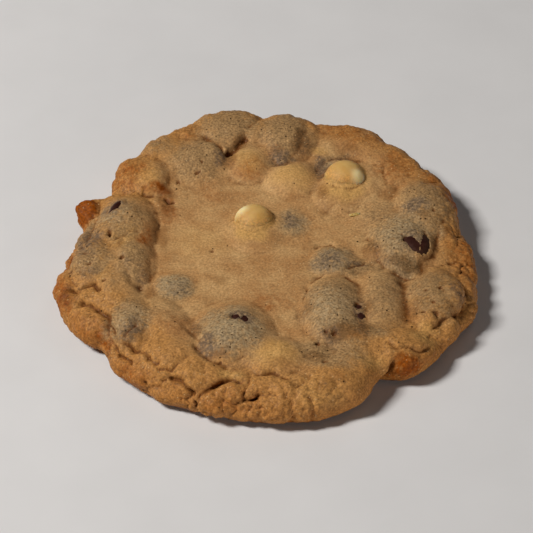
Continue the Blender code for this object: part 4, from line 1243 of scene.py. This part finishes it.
        # painted shade in narrow creases and along the deep ones
        narrow = np.clip(self.lowness(skin, points, (1, 2)), 0, self.hollow_most)
        deep = self.creased_most * smooth_step(*self.creased_span, relief.crease_depth(skin))
        found[Mask.CREASE_SHADE] = np.maximum(narrow, deep)
        under = smooth_step(*self.under_span, self.section.lower(skin))
        for mask in (Mask.HOLLOW_SHADE, Mask.RAISED, Mask.CREASE_SHADE, Mask.TOAST_AND_SHADE):
            found[mask] = found[mask] * (1 - under)
        found[Mask.TOAST_AND_SHADE] = np.maximum(found[Mask.TOAST_AND_SHADE], self.under_toasted * under)
        # painted shade under the heel, on top of the underside's browning
        found[Mask.SHADED] = np.maximum(found[Mask.SHADED], under)
        for drop in self.drops:
            if drop.kind is Chocolate.WHITE:
                thin = smooth_step(*self.thin_span, points[:, 2] - drop.surface(points))
                found[Mask.CREAMY_AND_LIT] = np.maximum(found[Mask.CREAMY_AND_LIT], self.thin_creamy * thin)
                for mask in (Mask.HOLLOW_SHADE, Mask.CREASE_SHADE, Mask.STAINED, Mask.INKY_AND_SHADE):
                    found[mask] = found[mask] * (1 - thin)
        return found

    def build(self) -> bpy.types.Object:
        """Makes the dough: the skin wrapped round the section, raised by its relief, with a flat foot.

        Returns:
            The dough, standing for its CAD node.
        """
        rings = self.top_rings + self.shoulder_rings + self.heel_rings + self.hem_rings
        sheet = bmesh.new()
        bmesh.ops.create_grid(sheet, x_segments=2 * rings, y_segments=2 * rings, size=rings)
        skin = self.flat_skin(sheet)
        place, way = self.section.wrap(skin)
        relief = Relief(self.section)
        points = place + way * relief.height(skin)[:, None]
        points = self.open_over_chips(skin, points)
        masks = self.masks(relief, skin, points)
        points[:, :2] -= PLAN_CENTRE
        for vert, point in zip(sheet.verts, points):
            vert.co = point
        border = [edge for edge in sheet.edges if edge.is_boundary]
        for edge in border:
            for vert in edge.verts:
                vert.co.z = 0
        foot = bmesh.ops.contextual_create(sheet, geom=border)["faces"]
        bmesh.ops.triangulate(sheet, faces=foot)
        made = new_piece("baked_dough", sheet)
        for mask, values in masks.items():
            write_values(made, mask.value, values)
        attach(made, "root")
        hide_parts("dough")
        return made


# ---------------------------------------------------------------- finishes
@dataclass(frozen=True)
class Tint:
    """One colour that lies over the dough where a mask says, with its edge broken up by a noise."""

    colour: str
    mask: Mask
    broken_by: str
    ragged: float
    full: float  # the mask's value from which the colour is at its strongest
    strength: float
    blend: str = "MIX"


@dataclass(frozen=True)
class Dots:
    """Round dots in some cells of a loose net, such as pores."""

    colour: str
    spacing: float
    width: float  # the narrowest dot's half width, in cells; the widest is three times that
    middle: float = 1.6  # strength in the middle of a dot, more than full so that its edge is short

    def add(self, tree: Tree, place: Socket, share: float | Socket) -> Socket:
        """Adds the dots' nodes.

        Args:
            tree: the material's node tree.
            place: the socket of the coordinates.
            share: which share of the cells holds a dot.

        Returns:
            The socket of the dots' strength, which is 0 outside them.
        """
        net = {"Vector": place, "Scale": 1 / (self.spacing * MM), "Randomness": 1.0}
        gap = add_node(tree, "TexVoronoi", net, "Distance", feature="F1")
        lot = add_node(tree, "SeparateColor", {0: gap.node.outputs["Color"]}).node.outputs
        chosen = add_node(tree, "Math", {0: lot[0], 1: share}, operation="LESS_THAN")
        widths = {0: lot[1], 1: 2 * self.width, 2: self.width}
        reach = add_node(tree, "Math", widths, operation="MULTIPLY_ADD")
        dot = add_node(tree, "MapRange", {"Value": gap, **mapping((0.0, reach), (self.middle, 0.0))})
        return add_node(tree, "Math", {0: dot, 1: chosen}, operation="MULTIPLY")


@dataclass(frozen=True)
class BakedDough:
    """Oven-baked cookie dough: butter and brown sugar make it golden, and its thin rim browns first.

    The skin is matt with a sugary grain that glints, small burst pores, and a grey cast where chocolate
    melted under it. Its colour also carries painted shade in hollows, creases, valleys, pores and under the
    heel, and painted light on some lobes.
    """

    base: str = "C29966"
    shadow_base: str = "AB7D4D"
    tints: tuple[Tint, ...] = (
        Tint("B48C54", Mask.RAISED, "mottle", 0.4, 1.0, 0.35),
        Tint("AB7840", Mask.BROWNED, "cloud", 0.5, 0.9, 0.9),
        Tint("A36D36", Mask.CRUSTED, "cloud", 0.5, 1.0, 0.85),
        # deeper brown, partly painted shade
        Tint("8A4608", Mask.TOAST_AND_SHADE, "mottle", 0.6, 1.2, 1.0),
        # pale dough, partly painted light
        Tint("C49758", Mask.CREAMY_AND_LIT, "cloud", 0.15, 1.0, 0.85),
        Tint("96764F", Mask.STAINED, "crumb", 0.55, 0.75, 0.9),
        Tint("A69474", Mask.ASHEN, "crumb", 0.6, 1.1, 0.6),
        # darkest stain, partly painted shade
        Tint("645040", Mask.INKY_AND_SHADE, "crumb", 0.8, 1.2, 0.8),
        # painted shade, multiplied over the colour
        Tint("C4B4A2", Mask.SHADED, "cloud", 0.2, 1.0, 0.9, "MULTIPLY"),
        # painted shade in hollows
        Tint("80501F", Mask.HOLLOW_SHADE, "mottle", 0.4, 1.3, 0.45),
        # painted shade in creases
        Tint("60340F", Mask.CREASE_SHADE, "mottle", 0.4, 1.0, 0.8),
    )
    # each noise's pattern size in millimetres, and its detail
    sizes: tuple[tuple[str, float, float], ...] = (
        ("cloud", 6.0, 3.0),
        ("mottle", 1.6, 6.0),
        ("crumb", 0.9, 6.0),
        ("grain", 0.5, 4.0),
        ("sugar", 0.26, 1.0),
    )
    cloud_stretch: tuple[float, float, float] = (0.9, 1.0, 1.0)
    cloud_span: Span = (0.33, 0.67)  # of the cloud, from the shadow base to the base
    grain_contrast: Span = (0.3, 0.62)  # on the smooth middle, and on the rim and over the chocolate
    rim_grain: float = 0.55  # how much of that the browned rim has
    crystals: Dots = Dots("DDBB88", 0.7, 0.12)  # sugar that didn't melt
    crystal_share: float = 0.3
    crystal_strength: float = 0.42
    pores: Dots = Dots("4A3018", 1.1, 0.09)  # burst bubbles, darkened as painted shade in the holes
    pore_share: float = 0.04
    stained_pore_share: float = 0.42  # what is added over the chocolate
    roughness: float = 0.62
    glint_roughness: float = 0.34
    glint_span: Span = (0.56, 0.7)  # of the sugar's noise, from the plain roughness to the glint's
    ior: float = 1.45
    sheen: float = 0.14
    grain_bump: tuple[float, float] = (0.55, 0.16)  # its strength, and its height in millimetres
    pore_bump: tuple[float, float] = (0.9, 0.3)  # the same, inwards

    def noises(self, tree: Tree, place: Socket) -> dict[str, Socket]:
        """Adds the noises.

        Args:
            tree: the material's node tree.
            place: the socket of the coordinates.

        Returns:
            The socket of each noise, by its name.
        """
        drawn = add_node(tree, "Mapping", {"Vector": place, "Scale": self.cloud_stretch})
        found = {}
        for name, size, detail in self.sizes:
            vector = drawn if name == "cloud" else place
            pattern = {"Vector": vector, "Scale": 1 / (size * MM), "Detail": detail, "Roughness": 0.6}
            found[name] = add_node(tree, "TexNoise", pattern, "Fac")
        return found

    def tinted(self, tree: Tree, masks: dict[Mask, Socket], noises: dict[str, Socket]) -> Socket:
        """Lays the tints over the base.

        Args:
            tree: the material's node tree.
            masks: the socket of each mask.
            noises: the socket of each noise.

        Returns:
            The socket of the colour.
        """
        cloud = add_node(tree, "MapRange", {"Value": noises["cloud"], **mapping(self.cloud_span, (0.0, 1.0))})
        bases = {0: cloud, MIX_A: linear(self.shadow_base), MIX_B: linear(self.base)}
        colour = add_node(tree, "Mix", bases, MIX_OUT, data_type="RGBA")
        for tint in self.tints:
            span = mapping(NOISE_SPAN, (1 - tint.ragged, 1 + tint.ragged))
            broken = add_node(tree, "MapRange", {"Value": noises[tint.broken_by], **span})
            amount = add_node(tree, "Math", {0: masks[tint.mask], 1: broken}, operation="MULTIPLY")
            span = mapping((0.0, tint.full), (0.0, tint.strength))
            share = add_node(tree, "MapRange", {"Value": amount, **span}, interpolation_type="SMOOTHSTEP")
            pair = {0: share, MIX_A: colour, MIX_B: linear(tint.colour)}
            colour = add_node(tree, "Mix", pair, MIX_OUT, data_type="RGBA", blend_type=tint.blend)
        return colour

    def speckled(self, tree: Tree, colour: Socket, masks: dict[Mask, Socket], grain: Socket) -> Socket:
        """Lays the grain of crumb over the colour, faint on the smooth middle and strong on the stains.

        Args:
            tree: the material's node tree.
            colour: the socket of the colour.
            masks: the socket of each mask.
            grain: the socket of the grain's noise.

        Returns:
            The socket of the new colour.
        """
        browned = add_node(tree, "Math", {0: masks[Mask.BROWNED], 1: self.rim_grain}, operation="MULTIPLY")
        rough = add_node(tree, "Math", {0: masks[Mask.STAINED], 1: browned}, operation="MAXIMUM")
        contrast = add_node(tree, "MapRange", {"Value": rough, **mapping((0.0, 1.0), self.grain_contrast)})
        speck = add_node(tree, "MapRange", {"Value": grain, **mapping(NOISE_SPAN, (-1.0, 1.0))})
        speck = add_node(tree, "Math", {0: speck, 1: contrast, 2: 1.0}, operation="MULTIPLY_ADD")
        pair = {0: 1.0, MIX_A: colour, MIX_B: speck}
        return add_node(tree, "Mix", pair, MIX_OUT, data_type="RGBA", blend_type="MULTIPLY")

    def make(self) -> bpy.types.Material:
        """Makes the material.

        Returns:
            The material, which reads the dough's masks.
        """
        material, tree, place = new_material("oven-baked cookie dough")
        masks = {mask: add_node(tree, "Attribute", {}, "Fac", attribute_name=mask.value) for mask in Mask}
        noises = self.noises(tree, place)
        colour = self.speckled(tree, self.tinted(tree, masks, noises), masks, noises["grain"])

        crystal = self.crystals.add(tree, place, self.crystal_share)
        faint = add_node(tree, "Math", {0: crystal, 1: self.crystal_strength}, operation="MULTIPLY")
        pair = {0: faint, MIX_A: colour, MIX_B: linear(self.crystals.colour)}
        colour = add_node(tree, "Mix", pair, MIX_OUT, data_type="RGBA")
        # pores: painted shade in the small holes
        shares = {0: masks[Mask.STAINED], 1: self.stained_pore_share, 2: self.pore_share}
        pore = self.pores.add(tree, place, add_node(tree, "Math", shares, operation="MULTIPLY_ADD"))
        pair = {0: pore, MIX_A: colour, MIX_B: linear(self.pores.colour)}
        colour = add_node(tree, "Mix", pair, MIX_OUT, data_type="RGBA")

        span = mapping(self.glint_span, (self.roughness, self.glint_roughness))
        gloss = add_node(tree, "MapRange", {"Value": noises["sugar"], **span})
        strength, height = self.grain_bump
        bump = {"Height": noises["grain"], "Strength": strength, "Distance": height * MM}
        grained = add_node(tree, "Bump", bump)
        strength, height = self.pore_bump
        bump = {"Height": pore, "Strength": strength, "Distance": height * MM, "Normal": grained}
        pitted = add_node(tree, "Bump", bump, invert=True)
        feed_inputs(
            tree, tree.nodes["Principled BSDF"],
            {"Base Color": colour, "Roughness": gloss, "IOR": self.ior, "Specular IOR Level": self.sheen,
             "Normal": pitted},
        )
        return material


@dataclass(frozen=True)
class BakedChocolate:
    """Chocolate that melted in the oven and set again: a satin face with a slight bloom and fine waves."""

    name: str
    body: str
    bloom: str
    film: str  # colour of the crumb and dough that cling to it
    bare: str  # colour of its cleanest place
    bloom_size: float
    roughness: float
    glow: float = 0.0  # how far it lets light through
    shine: float = 0.15
    ior: float = 1.46
    bloom_span: Span = (0.35, 0.7)  # of the bloom's noise, from the body to the bloom
    grain_size: float = 0.5
    grain_contrast: float = 0.32
    grain_bump: tuple[float, float] = (0.4, 0.12)  # its strength, and its height in millimetres
    dull_span: Span = (-0.08, 0.1)  # how far the roughness varies
    glow_colour: tuple[float, float, float] = (1.0, 0.8, 0.5)
    glow_reach: float = 4.0

    def make(self) -> bpy.types.Material:
        """Makes the material.

        Returns:
            The material, which reads what is written on a drop.
        """
        material, tree, place = new_material(self.name)
        pattern = {"Vector": place, "Scale": 1 / (self.bloom_size * MM), "Detail": 5.0, "Roughness": 0.65}
        cloud = add_node(tree, "TexNoise", pattern, "Fac")
        span = mapping(self.bloom_span, (0.0, 1.0))
        share = add_node(tree, "MapRange", {"Value": cloud, **span}, interpolation_type="SMOOTHSTEP")
        pair = {0: share, MIX_A: linear(self.body), MIX_B: linear(self.bloom)}
        colour = add_node(tree, "Mix", pair, MIX_OUT, data_type="RGBA")

        pattern = {"Vector": place, "Scale": 1 / (self.grain_size * MM), "Detail": 4.0, "Roughness": 0.6}
        grain = add_node(tree, "TexNoise", pattern, "Fac")
        span = mapping(NOISE_SPAN, (1 - self.grain_contrast, 1 + self.grain_contrast))
        speck = add_node(tree, "MapRange", {"Value": grain, **span})
        pair = {0: 1.0, MIX_A: linear(self.film), MIX_B: speck}
        crumb = add_node(tree, "Mix", pair, MIX_OUT, data_type="RGBA", blend_type="MULTIPLY")
        # the bare attribute lays on a painted highlight
        for name, tint in (("filmed", crumb), ("bare", linear(self.bare))):
            amount = add_node(tree, "Attribute", {}, "Fac", attribute_name=name)
            colour = add_node(tree, "Mix", {0: amount, MIX_A: colour, MIX_B: tint}, MIX_OUT, data_type="RGBA")

        smoother, duller = self.dull_span
        span = mapping(NOISE_SPAN, (self.roughness + smoother, self.roughness + duller))
        gloss = add_node(tree, "MapRange", {"Value": cloud, **span})
        strength, height = self.grain_bump
        bump = add_node(tree, "Bump", {"Height": grain, "Strength": strength, "Distance": height * MM})
        feed_inputs(
            tree, tree.nodes["Principled BSDF"],
            {"Base Color": colour, "Roughness": gloss, "IOR": self.ior, "Specular IOR Level": self.shine,
             "Subsurface Weight": self.glow, "Subsurface Radius": self.glow_colour,
             "Subsurface Scale": self.glow_reach * MM, "Normal": bump},
        )
        return material


CHOCOLATES: dict[Chocolate, BakedChocolate] = {
    # the white chips' bare colour is a painted highlight
    Chocolate.WHITE: BakedChocolate(
        "melted white chocolate", body="C79D5A", bloom="CFA866", film="C49657", bare="E6D09C",
        bloom_size=2.5, roughness=0.58, glow=0.9, shine=0.3,
    ),
    Chocolate.DARK: BakedChocolate(
        "bloomed dark chocolate", body="2E120A", bloom="48281F", film="3A2418", bare="2E120A",
        bloom_size=0.9, roughness=0.55,
    ),
}


# ---------------------------------------------------------------- a sliver of white chocolate
@dataclass(frozen=True)
class Fleck:
    """The sliver of white chocolate that lies bare on the dough."""

    skin: tuple[float, float] = (20.5, 12.4)
    half_sizes: tuple[float, float, float] = (1.5, 0.45, 0.35)
    turn: float = 8.0
    lift: float = 0.2  # height of its middle over the skin
    unevenness: float = 0.2
    uneven_pitch: float = 1.3
    seed: float = 4.0

    def build(self) -> bpy.types.Object:
        """Makes the sliver.

        Returns:
            The sliver, riding on the cookie.
        """
        skin = np.array([self.skin])
        section = Section()
        place, way = section.wrap(skin)
        middle = (place + way * Relief(section).height(skin)[:, None])[0]
        sliver = bmesh.new()
        bmesh.ops.create_icosphere(sliver, subdivisions=3, radius=1)
        for vert in sliver.verts:
            x, y, z = vert.co
            pitch = self.uneven_pitch
            bent = 1 + self.unevenness * noise.noise(Vector((x * pitch, y * pitch, z * pitch + self.seed)))
            length, width, height = (bent * half * part for half, part in zip(self.half_sizes, (x, y, z)))
            along, across = rotated(length, width, self.turn)
            vert.co = (*(middle[:2] - PLAN_CENTRE + (along, across)), middle[2] + self.lift + height)
        made = new_piece("white_fleck", sliver)
        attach(made, "root")
        return made


# ---------------------------------------------------------------- the studio
@dataclass(frozen=True)
class Lamp:
    """A rectangular soft light, in metres and watts, that faces the cookie."""

    name: str
    power: float
    size: tuple[float, float]
    place: tuple[float, float, float]
    tint: str


@dataclass(frozen=True)
class Studio:
    """A plain pale floor, soft light from behind the cookie's left, and the camera at the picture's angle."""

    elevation: float = 42.0
    distance: float = 500.0
    lens: float = 148.0
    sensor: float = 36.0
    aim: tuple[float, float, float] = (0.0, 0.0, 3.0)
    floor_size: float = 3000.0
    floor_tints: tuple[str, str] = ("D6D4D4", "E0DEDE")
    floor_cloud: float = 18.0
    floor_roughness: float = 0.8
    lamps: tuple[Lamp, ...] = (
        Lamp("window", 9.8, (0.15, 0.26), (-0.638, -0.078, 0.766), "FFFDF9"),
        Lamp("front reflector", 3.3, (0.6, 0.3), (0.6, -0.79, 0.13), "FFF9F2"),
        Lamp("back reflector", 0.35, (0.4, 0.4), (0.4, 0.68, 0.6), "FFFFFF"),
    )
    surround: str = "F2F4FA"
    surround_strength: float = 0.02

    def look(self, thing: bpy.types.Object, place: Vector, target: Vector) -> None:
        """Puts a camera or a light at a place and turns it to a target.

        Args:
            thing: the camera or light.
            place: where it stands, in metres.
            target: what it faces, in metres.
        """
        bpy.context.scene.collection.objects.link(thing)
        thing.location = place
        thing.rotation_mode = "QUATERNION"
        thing.rotation_quaternion = (target - place).to_track_quat("-Z", "Y")

    def add_camera(self) -> None:
        """Adds the camera, in front of the cookie and above it."""
        aim = Vector(self.aim) - Vector((PLAN_CENTRE[0], PLAN_CENTRE[1], 0))
        tilt = math.radians(self.elevation)
        place = aim + self.distance * Vector((0, -math.cos(tilt), math.sin(tilt)))
        camera = bpy.data.objects.new("camera", bpy.data.cameras.new("camera"))
        camera.data.lens = self.lens
        camera.data.sensor_width = self.sensor
        self.look(camera, place * MM, aim * MM)
        bpy.context.scene.camera = camera

    def add_floor(self) -> None:
        """Adds the floor, a smooth pale sheet with a faint cloudiness."""
        sheet = bmesh.new()
        bmesh.ops.create_grid(sheet, x_segments=2, y_segments=2, size=self.floor_size / 2)
        floor = new_piece("floor", sheet)
        material, tree, place = new_material("pale matt floor")
        pattern = {"Vector": place, "Scale": 1 / (self.floor_cloud * MM), "Detail": 5.0}
        cloud = add_node(tree, "TexNoise", pattern, "Fac")
        darker, paler = (linear(tint) for tint in self.floor_tints)
        colour = add_node(tree, "Mix", {0: cloud, MIX_A: darker, MIX_B: paler}, MIX_OUT, data_type="RGBA")
        matt = {"Base Color": colour, "Roughness": self.floor_roughness}
        feed_inputs(tree, tree.nodes["Principled BSDF"], matt)
        floor.data.materials.append(material)

    def add_lights(self) -> None:
        """Adds a large soft light behind the left, a weak one in front, and an even pale surround."""
        for lamp in self.lamps:
            light = bpy.data.lights.new(lamp.name, "AREA")
            light.energy = lamp.power
            light.shape = "RECTANGLE"
            light.size, light.size_y = lamp.size
            light.color = linear(lamp.tint)[:3]
            self.look(bpy.data.objects.new(lamp.name, light), Vector(lamp.place), Vector((0, 0, 0)))
        world = bpy.data.worlds.new("pale surround")
        world.use_nodes = True
        tree = world.node_tree
        pale = {"Color": linear(self.surround), "Strength": self.surround_strength}
        feed_inputs(tree, tree.nodes["Background"], pale)
        bpy.context.scene.world = world
        bpy.context.scene.view_settings.view_transform = "Standard"


def dress(made: bpy.types.Object, material: bpy.types.Material) -> None:
    """Dresses a piece in its material and reports it."""
    made.data.materials.append(material)
    LOG.info("%s: %d faces", made.name, len(made.data.polygons))


def main() -> None:
    """Builds the cookie's pieces in order, dresses them, and sets up the studio."""
    logging.basicConfig(level=logging.INFO, format="%(name)s: %(message)s")
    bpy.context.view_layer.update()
    dress(Dough().build(), BakedDough().make())
    chocolates = {kind: chocolate.make() for kind, chocolate in CHOCOLATES.items()}
    for name, drop in DROPS.items():
        dress(drop.build(name), chocolates[drop.kind])
    dress(Fleck().build(), chocolates[Chocolate.WHITE])
    studio = Studio()
    studio.add_floor()
    studio.add_lights()
    studio.add_camera()


if __name__ == "__main__":
    main()
